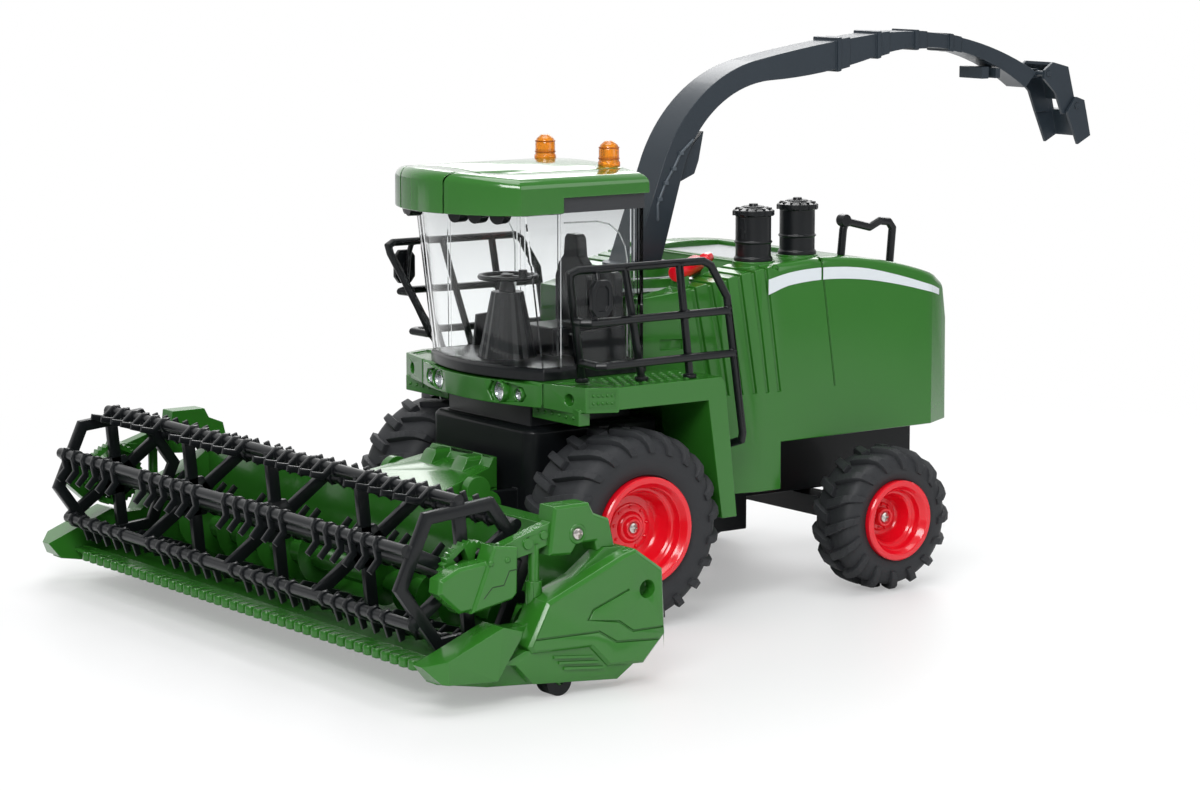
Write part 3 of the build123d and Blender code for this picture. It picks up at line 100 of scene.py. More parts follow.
def seat(mesh, name, body, material, angle=32.0, hides=()):
    """Puts a finished mesh in the scene: smooth between its sharp edges, riding on its body."""
    mesh.materials.clear()
    mesh.materials.append(material)
    mesh.shade_smooth()
    mesh.set_sharp_from_angle(angle=math.radians(angle))
    piece = bpy.data.objects.new(name, mesh)
    bpy.context.scene.collection.objects.link(piece)
    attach(piece, body)
    if hides:
        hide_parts(*hides)
    return piece


def place(bm, name, body, material, angle=32.0, hides=()):
    """Turns a mesh drawn in millimetres from the front axle into a seated piece."""
    bmesh.ops.transform(bm, matrix=TO_FRAME, verts=bm.verts)
    bmesh.ops.recalc_face_normals(bm, faces=bm.faces)
    mesh = bpy.data.meshes.new(name)
    bm.to_mesh(mesh)
    bm.free()
    return seat(mesh, name, body, material, angle, hides)


def softened(node, material, edge, sharp=28.0, steps=2, cut=False):
    """Copy of a CAD piece with the edge radius of its mould, in millimetres, in its place.

    With cut, faces of more than four corners are cut into triangles first.
    """
    bm = bmesh.new()
    bm.from_mesh(frame["nodes"][node].data)
    bmesh.ops.remove_doubles(bm, verts=bm.verts, dist=WELD)
    bmesh.ops.dissolve_limit(bm, angle_limit=math.radians(FLAT), verts=bm.verts, edges=bm.edges)
    if cut:
        bmesh.ops.triangulate(bm, faces=[f for f in bm.faces if len(f.verts) > 4])
    mesh = bpy.data.meshes.new(node + "_moulded")
    bm.to_mesh(mesh)
    bm.free()
    bodies = frame["record"]["behaviour"]["bodies"]
    body = next(name for name, nodes in bodies.items() if node in nodes)
    piece = seat(mesh, node + "_moulded", body, material, sharp, hides=(node,))
    radius = piece.modifiers.new("mould_radius", "BEVEL")
    radius.width = edge * 0.001
    radius.segments = steps
    radius.limit_method = "ANGLE"
    radius.angle_limit = math.radians(sharp)
    radius.use_clamp_overlap = False
    radius.harden_normals = True
    return piece


black_abs = moulded("black_abs", BLACK_ABS, 0.36, 2600.0, 0.25, coat=0.05, specular=0.28)
softened("chassis_tub", black_abs, TUB_EDGE)
dress(black_abs, "rear_axle", "knuckle_left", "knuckle_right", "steering_rack")

# Front axle.
# A steel stub with a flange at its root on each side of the tub. The wheels run on the stubs, so
# these are bright.
steel = moulded("steel_rod", (0.55, 0.55, 0.56), 0.28, 900.0, 0.1)
steel.node_tree.nodes["Principled BSDF"].inputs["Metallic"].default_value = 1.0
dress(steel, "front_axle")

# Rims.
# Glossy red ABS dishes: a flat lip, nested steps down to a deep disc, a ring of small bumps and
# a stepped boss. One cross-head screw through the boss holds each wheel on its axle.
RED_ABS = (0.78, 0.004, 0.016)
RIM_TURN = 96
BUMPS = 9
BUMP_R = 0.6
SCREW_R = 1.75
LIP_PROUD = 0.6
DISC_SINK = 9.5
DISC_STEP = 6.6
# axle, side, body, middle of the track, y, radius, width, rim radius, lugs in a row
WHEELS = (
    ("front", "left", "front_wheel_l", 44.5, 0.0, 29.0, 26.0, 15.9, 22),
    ("front", "right", "front_wheel_r", -44.5, 0.0, 29.0, 26.0, 15.9, 22),
    ("rear", "left", "rear_wheel_l", 48.5, 95.5, 22.0, 18.0, 12.3, 16),
    ("rear", "right", "rear_wheel_r", -48.5, 95.5, 22.0, 18.0, 12.3, 16),
)


def turned(points, steps):
    """Solid turned about the X axis from an outline of (x, radius) points."""
    bm = bmesh.new()
    line = [bm.verts.new((x, 0.0, r)) for x, r in points]
    edges = [bm.edges.new(pair) for pair in zip(line, line[1:])]
    bmesh.ops.spin(bm, geom=line + edges, cent=(0, 0, 0), axis=(1, 0, 0), dvec=(0, 0, 0),
                   angle=math.tau, steps=steps, use_merge=True)
    bmesh.ops.remove_doubles(bm, verts=bm.verts, dist=0.002)
    bmesh.ops.recalc_face_normals(bm, faces=bm.faces)
    return bm


def hub_radius(rim_r):
    return min((rim_r - DISC_STEP) * 0.78, 7.2)


def rim_outline(radius, width):
    """Section of a rim, from the axle bore round the back, the lip and the dish to the middle."""
    lip = width / 2 + LIP_PROUD
    back = 2.2 - width / 2
    disc = lip - DISC_SINK
    disc_r = radius - DISC_STEP
    hub = hub_radius(radius)
    return [(disc + 0.4, 0.0), (disc + 0.4, 1.55), (back, 1.55), (back, 4.6), (disc - 2.0, 4.6),
            (disc - 2.0, disc_r), (back, radius - 2.0), (back, radius), (lip - 0.35, radius),
            (lip, radius - 0.35), (lip, radius - 1.7), (lip - 0.35, radius - 2.1),
            (lip - 1.5, radius - 2.6), (lip - 1.9, radius - 3.1), (lip - 3.9, radius - 3.4),
            (lip - 4.3, radius - 3.8), (lip - 4.4, radius - 4.4), (lip - 4.9, radius - 4.9),
            (disc + 1.4, radius - 5.6), (disc + 0.4, disc_r + 0.4), (disc, disc_r - 0.1),
            (disc, hub), (disc + 0.5, hub - 0.3), (disc + 0.6, hub - 0.6), (disc + 0.6, hub * 0.66),
            (disc + 1.2, hub * 0.6), (disc + 1.5, hub * 0.54), (disc + 1.5, hub * 0.46),
            (disc + 2.2, 2.9), (disc + 2.5, 2.6), (disc + 2.5, 2.1), (disc + 1.9, 1.9),
            (disc + 1.9, 0.0)]


def screw_head(bm, matrix, radius):
    """Cross-head screw: a domed head with a cross recess, facing along the matrix's X."""
    outer = bmesh.ops.create_circle(bm, segments=12, radius=radius,
                                    matrix=Matrix.Rotation(math.radians(15), 4, "Z"))["verts"]
    ring = list({e for v in outer for e in v.link_edges})
    dome = bmesh.ops.extrude_edge_only(bm, edges=ring)["geom"]
    crown = [g for g in dome if isinstance(g, bmesh.types.BMVert)]
    bmesh.ops.translate(bm, verts=crown, vec=(0, 0, radius * 0.28))
    bmesh.ops.scale(bm, verts=crown, vec=(0.84, 0.84, 1.0))
    crown_edges = [g for g in dome if isinstance(g, bmesh.types.BMEdge)
                   and g.verts[0] in crown and g.verts[1] in crown]
    arm, slot, top = radius * 0.56, radius * 0.15, radius * 0.42
    corners = [(arm, -slot), (arm, slot), (slot, slot), (slot, arm), (-slot, arm), (-slot, slot),
               (-arm, slot), (-arm, -slot), (-slot, -slot), (-slot, -arm), (slot, -arm), (slot, -slot)]
    cross = [bm.verts.new((x, y, top)) for x, y in corners]
    mouth = [bm.edges.new((a, b)) for a, b in zip(cross, cross[1:] + cross[:1])]
    bmesh.ops.bridge_loops(bm, edges=crown_edges + mouth)
    sunk = bmesh.ops.extrude_edge_only(bm, edges=mouth)["geom"]
    floor = [g for g in sunk if isinstance(g, bmesh.types.BMVert)]
    bmesh.ops.translate(bm, verts=floor, vec=(0, 0, -radius * 0.3))
    bmesh.ops.contextual_create(bm, geom=[g for g in sunk if isinstance(g, bmesh.types.BMEdge)
                                          and g.verts[0] in floor and g.verts[1] in floor])
    bmesh.ops.contextual_create(bm, geom=ring)
    turn = matrix @ Matrix.Rotation(math.radians(90), 4, "Y")
    bmesh.ops.transform(bm, matrix=turn, verts=list(outer) + crown + cross + floor)


red_abs = moulded("red_abs", RED_ABS, 0.2, 700.0, 0.05, coat=0.45, drift=0.05)
screw_steel = moulded("screw_steel", (0.62, 0.58, 0.55), 0.24, 1500.0, 0.1)
screw_steel.node_tree.nodes["Principled BSDF"].inputs["Metallic"].default_value = 1.0
for axle, side, body, track, wheel_y, radius, width, rim_r, lugs in WHEELS:
    hand = Matrix.Diagonal((1.0 if track > 0 else -1.0, 1.0, 1.0, 1.0))
    hub = Matrix.Translation((track, wheel_y, radius)) @ hand
    disc_x = width / 2 + LIP_PROUD - DISC_SINK
    bm = turned(rim_outline(rim_r, width), RIM_TURN)
    ring_r = hub_radius(rim_r) * 0.83
    for i in range(BUMPS):
        spot = (Matrix.Rotation(math.tau * i / BUMPS, 4, "X")
                @ Matrix.Translation((disc_x + 0.55, 0, ring_r)))
        bmesh.ops.create_icosphere(bm, subdivisions=2, radius=BUMP_R, matrix=spot)
    bmesh.ops.transform(bm, matrix=hub, verts=bm.verts)
    place(bm, f"{axle}_rim_{side}_dish", body, red_abs, 30, hides=(f"{axle}_rim_{side}",))
    bm = bmesh.new()
    screw_head(bm, Matrix.Translation((disc_x + 1.9, 0, 0)), SCREW_R)
    bmesh.ops.transform(bm, matrix=hub, verts=bm.verts)
    place(bm, f"{axle}_wheel_screw_{side}", body, screw_steel, 30)

# Tyres.
# Soft black rubber over the rims, with two rows of chevron lugs. The middle end of a lug
# leads, and its outer end steps down over the shoulder. The sidewalls are matt and bulge a little.
RUBBER = (0.021, 0.0225, 0.0255)
TYRE_TURN = 88
LUG_PARTS = 9
LUG_H = 1.75
LUG_ROUND = 0.09


def merge(bm, other):
    """Adds a second mesh to the first."""
    mesh = bpy.data.meshes.new("part")
    other.to_mesh(mesh)
    bm.from_mesh(mesh)
    bpy.data.meshes.remove(mesh)


def tread_path(share, half, tread):
    """(x, radius, outward x, outward radius) on the carcass, share of the way along a lug."""
    path = [(-0.5, tread), (half * 0.3, tread), (half * 0.6, tread - 0.15),
            (half * 0.78, tread - 0.9), (half * 0.9, tread - 2.5), (half * 0.945, tread - 4.6)]
    reach = share * (len(path) - 1)
    i = min(int(reach), len(path) - 2)
    a, b = Vector(path[i]), Vector(path[i + 1])
    before = Vector(path[max(i - 1, 0)])
    after = Vector(path[min(i + 2, len(path) - 1)])
    t = reach - i
    point = a.lerp(b, t)
    run = (b - before).normalized().lerp((after - a).normalized(), t)
    return point.x, point.y, -run.y, run.x


def lug_row(bm, radius, width, lugs):
    """One lug, bent along the tread and repeated round the tyre on the +X side."""
    half, tread = width / 2, radius - LUG_H
    pitch = math.tau * radius / lugs
    shape = bmesh.ops.create_cube(bm, size=1.0, matrix=Matrix.Translation((0.5, 0, 0.5)))["verts"]
    along = [e for e in {e for v in shape for e in v.link_edges}
             if abs(e.verts[0].co.x - e.verts[1].co.x) > 0.5]
    bmesh.ops.subdivide_edges(bm, edges=along, cuts=LUG_PARTS, use_grid_fill=True)
    top = [e for e in bm.edges if all(v.co.z > 0.99 for v in e.verts)
           and (all(abs(v.co.y) > 0.49 for v in e.verts) or all(v.co.x > 0.99 for v in e.verts)
                or all(v.co.x < 0.01 for v in e.verts))]
    bmesh.ops.bevel(bm, geom=top, offset=LUG_ROUND, offset_type="OFFSET", segments=2, profile=0.5,
                    affect="EDGES", material=-1)
    for v in bm.verts:
        share, aside, height = v.co
        x, r, out_x, out_r = tread_path(min(max(share, 0.0), 1.0), half, tread)
        rise = (LUG_H - 1.0 * share ** 3) * height - 0.45 * (1 - height)
        wide = pitch * (0.42 - 0.10 * height - 0.04 * share)
        lead = pitch * 0.62 * (share ** 1.2 - 0.5) + pitch * 0.08 * math.sin(math.pi * share)
        angle = (lead + aside * wide) / radius
        r += out_r * rise
        v.co = (x + out_x * rise, r * math.sin(angle), r * math.cos(angle))
    bmesh.ops.spin(bm, geom=bm.verts[:] + bm.edges[:] + bm.faces[:], cent=(0, 0, 0),
                   axis=(1, 0, 0), dvec=(0, 0, 0), angle=math.tau * (lugs - 1) / lugs,
                   steps=lugs - 1, use_duplicate=True)


rubber = moulded("tyre_rubber", RUBBER, 0.6, 1400.0, 0.45, drift=0.18)
for axle, side, body, track, wheel_y, radius, width, rim_r, lugs in WHEELS:
    half, tread = width / 2, radius - LUG_H
    outer = [(half * 0.72, rim_r), (half * 0.86, rim_r + 0.1), (half * 0.9, rim_r + 0.6),
             (half * 0.9, rim_r + 1.1), (half * 0.93, rim_r + 1.6),
             (half * 0.95, (rim_r + tread) / 2 - 1), (half * 0.95, tread - 4.4),
             (half * 0.9, tread - 2.5), (half * 0.78, tread - 0.9), (half * 0.6, tread - 0.15),
             (half * 0.3, tread)]
    bm = turned([(-x, r) for x, r in outer] + outer[::-1] + [(-half * 0.72, rim_r)], TYRE_TURN)
    row = bmesh.new()
    lug_row(row, radius, width, lugs)
    merge(bm, row)
    half_pitch_on = Matrix.Rotation(math.pi / lugs, 4, "X") @ Matrix.Diagonal((-1, 1, 1, 1))
    bmesh.ops.transform(row, matrix=half_pitch_on, verts=row.verts)
    bmesh.ops.reverse_faces(row, faces=row.faces)
    merge(bm, row)
    row.free()
    bmesh.ops.transform(bm, matrix=Matrix.Translation((track, wheel_y, radius)), verts=bm.verts)
    place(bm, f"{axle}_tyre_{side}_treaded", body, rubber, 38, hides=(f"{axle}_tyre_{side}",))

# Fender deck and light bar.
# One glossy green ABS moulding: a bowed light bar between two lamp boxes and the deck behind, with
# rows of grip nubs to stand on. A legged strip with studs hangs under each lamp box.
GREEN_ABS = (0.027, 0.160, 0.016)
DECK_Z = 70.8
NUB_ROWS = (35.3, 38.5, 41.7, 44.9, 48.1)
NUB_PITCH = 3.1
NUB_FRONT_Y = -3.4
NUB_REAR_Y = 27
STUD_R = 0.55
BOX_CORNER = (47.6, -14.8)
BOX_SIDE = (4.1, 9.0)


def stud(bm, x, y, z, radius, height, turn=None):
    """Low round bump, flattened along its own upright axis."""
    shape = (Matrix.Translation((x, y, z)) @ (turn or Matrix.Identity(4))
             @ Matrix.Diagonal((1, 1, height / radius, 1)))
    bmesh.ops.create_icosphere(bm, subdivisions=2, radius=radius, matrix=shape)


def brick(bm, middle, size, turn=None):
    """Small block by its middle and its three sizes."""
    shape = Matrix.Translation(middle) @ (turn or Matrix.Identity(4)) @ Matrix.Diagonal((*size, 1))
    return bmesh.ops.create_cube(bm, size=1.0, matrix=shape)["verts"]


def both_sides(bm):
    """Repeats the +X half's details on the -X half."""
    copy = bmesh.ops.duplicate(bm, geom=bm.verts[:] + bm.edges[:] + bm.faces[:])["geom"]
    verts = [g for g in copy if isinstance(g, bmesh.types.BMVert)]
    bmesh.ops.scale(bm, verts=verts, vec=(-1, 1, 1))
    bmesh.ops.reverse_faces(bm, faces=[g for g in copy if isinstance(g, bmesh.types.BMFace)])


green_abs = moulded("green_abs", GREEN_ABS, 0.2, 700.0, 0.05, coat=0.2, drift=0.07)
softened("fender_deck", green_abs, 0.3)
bm = bmesh.new()
for row, x in enumerate(NUB_ROWS):
    for i in range(10):
        y = NUB_FRONT_Y + NUB_PITCH * (i + (row % 2) / 2)
        if y < NUB_REAR_Y:
            stud(bm, x, y, DECK_Z, 0.95, 0.5)
both_sides(bm)
place(bm, "deck_nubs", "chassis", green_abs)
bm = bmesh.new()
facing = Matrix.Rotation(math.radians(90), 4, "X")
for i in range(6):
    stud(bm, 25.4 + 3.6 * i, -16.0, 61.8, STUD_R, 0.5, facing)


def box_side(share):
    """Point on the lamp box's slanted side, share of the way from its front corner."""
    return BOX_CORNER[0] + BOX_SIDE[0] * share, BOX_CORNER[1] + BOX_SIDE[1] * share


side_turn = Matrix.Rotation(math.atan2(BOX_SIDE[1], BOX_SIDE[0]) - math.pi / 2, 4, "Z")
side_out = side_turn @ Matrix.Rotation(math.radians(90), 4, "Y")
for i in range(5):
    for z in (66.3, 68.5):
        stud(bm, *box_side(0.24 + 0.14 * i), z, STUD_R, 0.4, side_out)
for z in (65.1, 69.7):
    brick(bm, (*box_side(0.52), z), (0.5, 8.0, 0.35), side_turn)
for share in (0.13, 0.91):
    brick(bm, (*box_side(share), 67.4), (0.5, 0.35, 4.9), side_turn)
both_sides(bm)
place(bm, "lamp_box_studs", "chassis", green_abs)

# Headlamps.
# A big and a small reflector cup each side, vacuum-plated, under clear domed lenses, each with a
# green bezel moulded round it in its almond recess.
LAMPS = ((16.0, -23.2, 67.0, 1.0), (23.4, -21.4, 66.7, 0.64))
CUP = ((-2.5, 0.0), (-2.5, 2.7), (0.0, 2.7), (0.0, 2.4), (-0.5, 2.25), (-1.3, 1.3), (-1.6, 0.6),
       (-0.9, 0.5), (-0.7, 0.0))
DOME = ((-0.3, 0.0), (-0.3, 2.36), (0.0, 2.4), (0.35, 2.1), (0.6, 1.4), (0.7, 0.7), (0.74, 0.0))
BEZEL = ((-1.4, 2.75), (0.35, 2.75), (0.6, 2.95), (0.6, 3.15), (0.3, 3.35), (-1.4, 3.4),
         (-1.4, 2.75))
plated = moulded("lamp_plating", (0.34, 0.36, 0.38), 0.16, 900.0, 0.05)
plated.node_tree.nodes["Principled BSDF"].inputs["Metallic"].default_value = 1.0


def clear_plastic(name, colour, rough, bend):
    """Clear polished plastic that bends light by the given index."""
    material = bpy.data.materials.new(name)
    material.use_nodes = True
    shader = material.node_tree.nodes["Principled BSDF"]
    shader.inputs["Base Color"].default_value = (*colour, 1)
    shader.inputs["Roughness"].default_value = rough
    shader.inputs["Transmission Weight"].default_value = 1.0
    shader.inputs["IOR"].default_value = bend
    return material


lamp_clear = clear_plastic("lamp_clear", (0.96, 0.97, 0.97), 0.04, 1.3)
for name, outline, material, hides in (("headlamp_cups", CUP, plated, ("headlamps",)),
                                       ("headlamp_domes", DOME, lamp_clear, ()),
                                       ("headlamp_bezels", BEZEL, green_abs, ())):
    bm = bmesh.new()
    for x, y, z, size in LAMPS:
        lamp = turned([(a * size, r * size) for a, r in outline], 36)
        facing = Matrix.Translation((x, y, z)) @ Matrix.Rotation(math.radians(-90), 4, "Z")
        bmesh.ops.transform(lamp, verts=lamp.verts, matrix=facing)
        merge(bm, lamp)
        lamp.free()
    both_sides(bm)
    place(bm, name, "chassis", material, 40, hides=hides)

# Cab floor, seat, steering column and console.
# Black ABS again, glossier than the tub: a floor tub with a rolled edge, a high-backed seat beside
# a low one, and a fluted cone under the wheel.
trim_black = moulded("trim_black", (0.0066, 0.0078, 0.009), 0.3, 1800.0, 0.12, coat=0.15,
                     specular=0.3)
softened("cab_base", trim_black, 0.3)
softened("driver_seat", trim_black, 0.6, steps=3)
softened("steering_wheel", trim_black, 0.12, sharp=40)
dress(trim_black, "steering_console")

# Cab glazing.
# One clear polystyrene moulding, polished, between the floor tub and the roof. Its pillars and
# hinge blocks are moulded on, and a raised bead draws the door's outline on each side.
DOOR_BEAD = ((13.6, 76.0), (13.6, 104.0), (12.8, 108.6), (10.6, 112.6), (7.0, 115.4), (2.6, 116.4),
             (-9.0, 116.6))


def rods(bm, points, radius, sides=12):
    """Round rod from point to point, a ball at each bend."""
    for a, b in zip(points, points[1:]):
        a, b = Vector(a), Vector(b)
        turn = (b - a).to_track_quat("Z", "Y").to_matrix().to_4x4()
        bmesh.ops.create_cone(bm, cap_ends=True, segments=sides, radius1=radius, radius2=radius,
                              depth=(b - a).length, matrix=Matrix.Translation((a + b) / 2) @ turn)
    for p in points:
        bmesh.ops.create_icosphere(bm, subdivisions=2, radius=radius * 1.02,
                                   matrix=Matrix.Translation(p))


glazing = clear_plastic("clear_glazing", (0.96, 0.975, 0.975), 0.02, 1.22)
dress(glazing, "cab_glazing")
bead = moulded("glazing_bead", (0.75, 0.78, 0.78), 0.1, 500.0, 0.02)
bead.node_tree.nodes["Principled BSDF"].inputs["Transmission Weight"].default_value = 0.8
bm = bmesh.new()
rods(bm, [(29.0, y, z) for y, z in DOOR_BEAD], 0.22)
both_sides(bm)
place(bm, "door_beads", "chassis", bead, 60)

# Cab roof.
# Glossy green ABS shell with moulded panel seams, a dark grey liner behind the step and three
# half-round work lamps a side under its front edge.
roof_green = moulded("roof_green", GREEN_ABS, 0.16, 600.0, 0.04, coat=0.8, drift=0.06)
softened("cab_roof", roof_green, 0.3)
liner_grey = moulded("liner_grey", (0.035, 0.037, 0.041), 0.4, 1500.0, 0.1)
dress(liner_grey, "roof_liner")
softened("roof_lamps", trim_black, 0.2)

# Beacons.
# Two amber domes of clear tinted plastic standing on the roof, with a darker band round the foot
# and another under the shoulder.
BEACON_AT = (16.5, 16.0)
BANDS = ((133.4, 3.16), (136.6, 3.08))
amber = moulded("amber_dome", (1.0, 0.34, 0.012), 0.1, 500.0, 0.04, coat=0.4)
amber.node_tree.nodes["Principled BSDF"].inputs["Transmission Weight"].default_value = 0.55
amber_deep = moulded("amber_reflector", (0.42, 0.1, 0.004), 0.3, 500.0, 0.04)
softened("beacons", amber, 0.2, sharp=40)
bm = bmesh.new()
for hand in (1, -1):
    for z, r in BANDS:
        ring = turned([(-0.2, r - 0.2), (0.2, r - 0.2), (0.2, r), (-0.2, r), (-0.2, r - 0.2)], 32)
        upright = (Matrix.Translation((hand * BEACON_AT[0], BEACON_AT[1], z))
                   @ Matrix.Rotation(math.radians(-90), 4, "Y"))
        bmesh.ops.transform(ring, verts=ring.verts, matrix=upright)
        merge(bm, ring)
        ring.free()
place(bm, "beacon_bands", "chassis", amber_deep, 40)

# Engine hood.
# One deep green ABS moulding, ribbed in front and plain behind a panel seam, its crest rounded.
# A printed white stripe tapers along each flank, and silver tread prints lie on the walkways.
CREST_ROUND = 2.0
STRIPE_TOP = ((59.0, 96.2), (68.5, 98.0), (81.0, 98.6), (96.6, 97.5), (111.0, 94.4), (126.0, 90.1),
              (131.0, 88.4))
STRIPE_FOOT = ((60.3, 91.9), (67.6, 94.0), (82.0, 94.9), (97.0, 93.9), (111.0, 91.5), (126.0, 87.9),
               (131.0, 86.5))
# start, end and count of points of the stripe's two lengths, before and behind the panel seam
STRIPE_RUNS = ((59.6, 80.3, 9), (81.1, 131.0, 20))
PRINT_LIFT = 0.06
PRINT_T = 0.05


def along(points, y):
    """Height of a smooth line through (y, z) points."""
    i = max(k for k in range(len(points) - 1) if y >= points[k][0] or k == 0)
    (y0, z0), (y1, z1) = points[i], points[i + 1]
    before = points[i - 1] if i else (2 * y0 - y1, 2 * z0 - z1)
    after = points[i + 2] if i + 2 < len(points) else (2 * y1 - y0, 2 * z1 - z0)
    t = (y - y0) / (y1 - y0)
    m0 = (z1 - before[1]) / (y1 - before[0]) * (y1 - y0)
    m1 = (after[1] - z0) / (after[0] - y0) * (y1 - y0)
    return ((2 * t ** 3 - 3 * t ** 2 + 1) * z0 + (t ** 3 - 2 * t ** 2 + t) * m0
            + (-2 * t ** 3 + 3 * t ** 2) * z1 + (t ** 3 - t ** 2) * m1)


def flank(y):
    """Half width of the hood at y."""
    return 38.0 - 1.5 * (y - 57) / 69 if y < 126 else 36.5 - 6.5 * (y - 126) / 12


hood = softened("engine_hood", green_abs, 0.3)
bm = bmesh.new()
bm.from_mesh(hood.data)
crest = []
for edge in bm.edges:
    if len(edge.link_faces) == 2 and edge.calc_face_angle() > math.radians(35):
        ends = [(abs(v.co.x) * 1000, (v.co.y + MIDDLE_Y) * 1000, v.co.z * 1000) for v in edge.verts]
        if all(60.5 < y < 134 and z > 88 and abs(x - flank(y)) < 0.15 for x, y, z in ends):
            if abs(ends[0][1] - ends[1][1]) > 0.2:
                crest.append(edge)
bmesh.ops.bevel(bm, geom=crest, offset=CREST_ROUND * 0.001, offset_type="OFFSET", segments=4,
                profile=0.5, affect="EDGES", material=-1)
bm.to_mesh(hood.data)
bm.free()
hood.data.shade_smooth()
hood.data.set_sharp_from_angle(angle=math.radians(28))

stripe_paint = moulded("stripe_print", (0.74, 0.79, 0.82), 0.3, 900.0, 0.04, drift=0.03)
bm = bmesh.new()
for start, end, count in STRIPE_RUNS:
    ys = [start + (end - start) * i / (count - 1) for i in range(count)]
    lines = []
    for edge_line in (STRIPE_TOP, STRIPE_FOOT):
        verts = [bm.verts.new((flank(y) + PRINT_LIFT, y, along(edge_line, y))) for y in ys]
        lines += [bm.edges.new(pair) for pair in zip(verts, verts[1:])]
    bmesh.ops.bridge_loops(bm, edges=lines)
both_sides(bm)
bmesh.ops.solidify(bm, geom=bm.faces[:], thickness=PRINT_T)
place(bm, "hood_stripes", "chassis", stripe_paint, 60)


def tread_print(name, pale, dark, cell, turn):
    """Printed silver foil with a grid of diamonds, or with bars where cell is 1 across."""
    mat = moulded(name, pale, 0.3, 900.0, 0.04)
    nodes, links = mat.node_tree.nodes, mat.node_tree.links
    where = nodes.new("ShaderNodeTexCoord").outputs["Object"]
    lay = nodes.new("ShaderNodeMapping")
    lay.inputs["Rotation"].default_value = (0, 0, turn)
    lay.inputs["Scale"].default_value = cell
    links.new(where, lay.inputs["Vector"])
    grid = nodes.new("ShaderNodeTexChecker")
    grid.inputs["Scale"].default_value = 1.0
    grid.inputs["Color1"].default_value = (*pale, 1)
    grid.inputs["Color2"].default_value = (*dark, 1)
    links.new(lay.outputs["Vector"], grid.inputs["Vector"])
    links.new(grid.outputs["Color"], nodes["Principled BSDF"].inputs["Base Color"])
    return mat


tread_foil = tread_print("tread_foil", (0.62, 0.64, 0.66), (0.26, 0.27, 0.29), (900, 900, 1),
                         math.radians(45))
step_foil = tread_print("step_foil", (0.66, 0.68, 0.7), (0.05, 0.055, 0.06), (700, 1, 1),
                        math.radians(30))
bm = bmesh.new()
brick(bm, (-3.5, 77.3, 99.65), (46.0, 26.0, 0.1))
place(bm, "hood_tread", "chassis", tread_foil)
bm = bmesh.new()
brick(bm, (0, 38.4, 93.25), (40.8, 33.6, 0.1))
place(bm, "well_tread", "chassis", tread_foil)
bm = turned([(-0.05, 11.6), (-0.05, 14.4), (0.05, 14.4), (0.05, 11.6), (-0.05, 11.6)], 64)
flat_on_collar = Matrix.Translation((0, 38.0, 96.05)) @ Matrix.Rotation(math.radians(90), 4, "Y")
bmesh.ops.transform(bm, verts=bm.verts, matrix=flat_on_collar)
place(bm, "collar_print", "chassis", step_foil)

# Drums, outlet, extinguisher and handle.
# Two black ribbed drums with stepped, ribbed lids, the clear mist outlet, a red extinguisher in
# its cradles and a bent black tube to hold on to, all standing on the hood.
DRUM_X = 28.0
DRUMS = ((61.5, 101.2), (78.5, 102.2))
LID_RIBS = 12
softened("drum_stacks", trim_black, 0.2)
softened("hood_handle", trim_black, 0.3, sharp=20)
bm = bmesh.new()
for y, z in DRUMS:
    for i in range(LID_RIBS):
        lid = (Matrix.Translation((DRUM_X, y, z + 15.6))
               @ Matrix.Rotation(math.tau * i / LID_RIBS, 4, "Z"))
        for reach, rise, size in ((4.6, 0, (2.0, 0.5, 0.7)), (6.1, -1.2, (0.5, 1.0, 1.4))):
            rib = lid @ Matrix.Translation((reach, 0, rise)) @ Matrix.Diagonal((*size, 1))
            bmesh.ops.create_cube(bm, size=1.0, matrix=rib)
    bmesh.ops.create_cone(bm, cap_ends=True, segments=24, radius1=1.6, radius2=1.3, depth=1.0,
                          matrix=Matrix.Translation((DRUM_X, y, z + 16.7)))
place(bm, "drum_lid_ribs", "chassis", trim_black)
mist_clear = moulded("mist_nozzle", (0.85, 0.87, 0.88), 0.16, 700.0, 0.04)
mist_clear.node_tree.nodes["Principled BSDF"].inputs["Transmission Weight"].default_value = 0.5
dress(mist_clear, "mist_outlet")
softened("fire_bottle", red_abs, 0.25, sharp=35)

# Railings.
# Black ABS in the form of bent tube, one piece each side with its mirror in front. It stands on
# the deck on three round feet.
for side in ("left", "right"):
    softened("railing_" + side, trim_black, 0.3, sharp=20)

# Spout and turntable.
# Dark slate ABS with lapped collars, and a thin pipe up each side of its foot under small clips.
# It turns on the green ring in the hood.
SPOUT_PIPE = ((55.0, 136.5), (50.3, 132.7), (47.6, 128.1), (44.6, 123.9), (42.3, 119.1),
              (41.6, 117.3), (41.7, 112.9))
PIPE_X = 6.25
PIPE_R = 0.42
slate_abs = moulded("slate_abs", (0.025, 0.035, 0.046), 0.36, 1500.0, 0.15, coat=0.1,
                    specular=0.4)
softened("spout", slate_abs, 0.25)
dress(green_abs, "spout_turntable")
pipe_slate = moulded("pipe_slate", (0.085, 0.105, 0.125), 0.3, 1500.0, 0.1)
bm = bmesh.new()
rods(bm, [(PIPE_X, y, z) for y, z in SPOUT_PIPE], PIPE_R)
for y, z in SPOUT_PIPE[1:5]:
    brick(bm, (6.3, y, z), (1.2, 1.5, 1.0))
both_sides(bm)
place(bm, "spout_pipes", "spout_arm", pipe_slate, 50)

# Flaps at the spout's end.
# Two slate ABS channels, each of two cheeks and a back, open to the front. They hang one behind
# the other, on the spout's pin and on the first flap's own.
softened("deflector", slate_abs, 0.15)
softened("deflector_tip", slate_abs, 0.15)

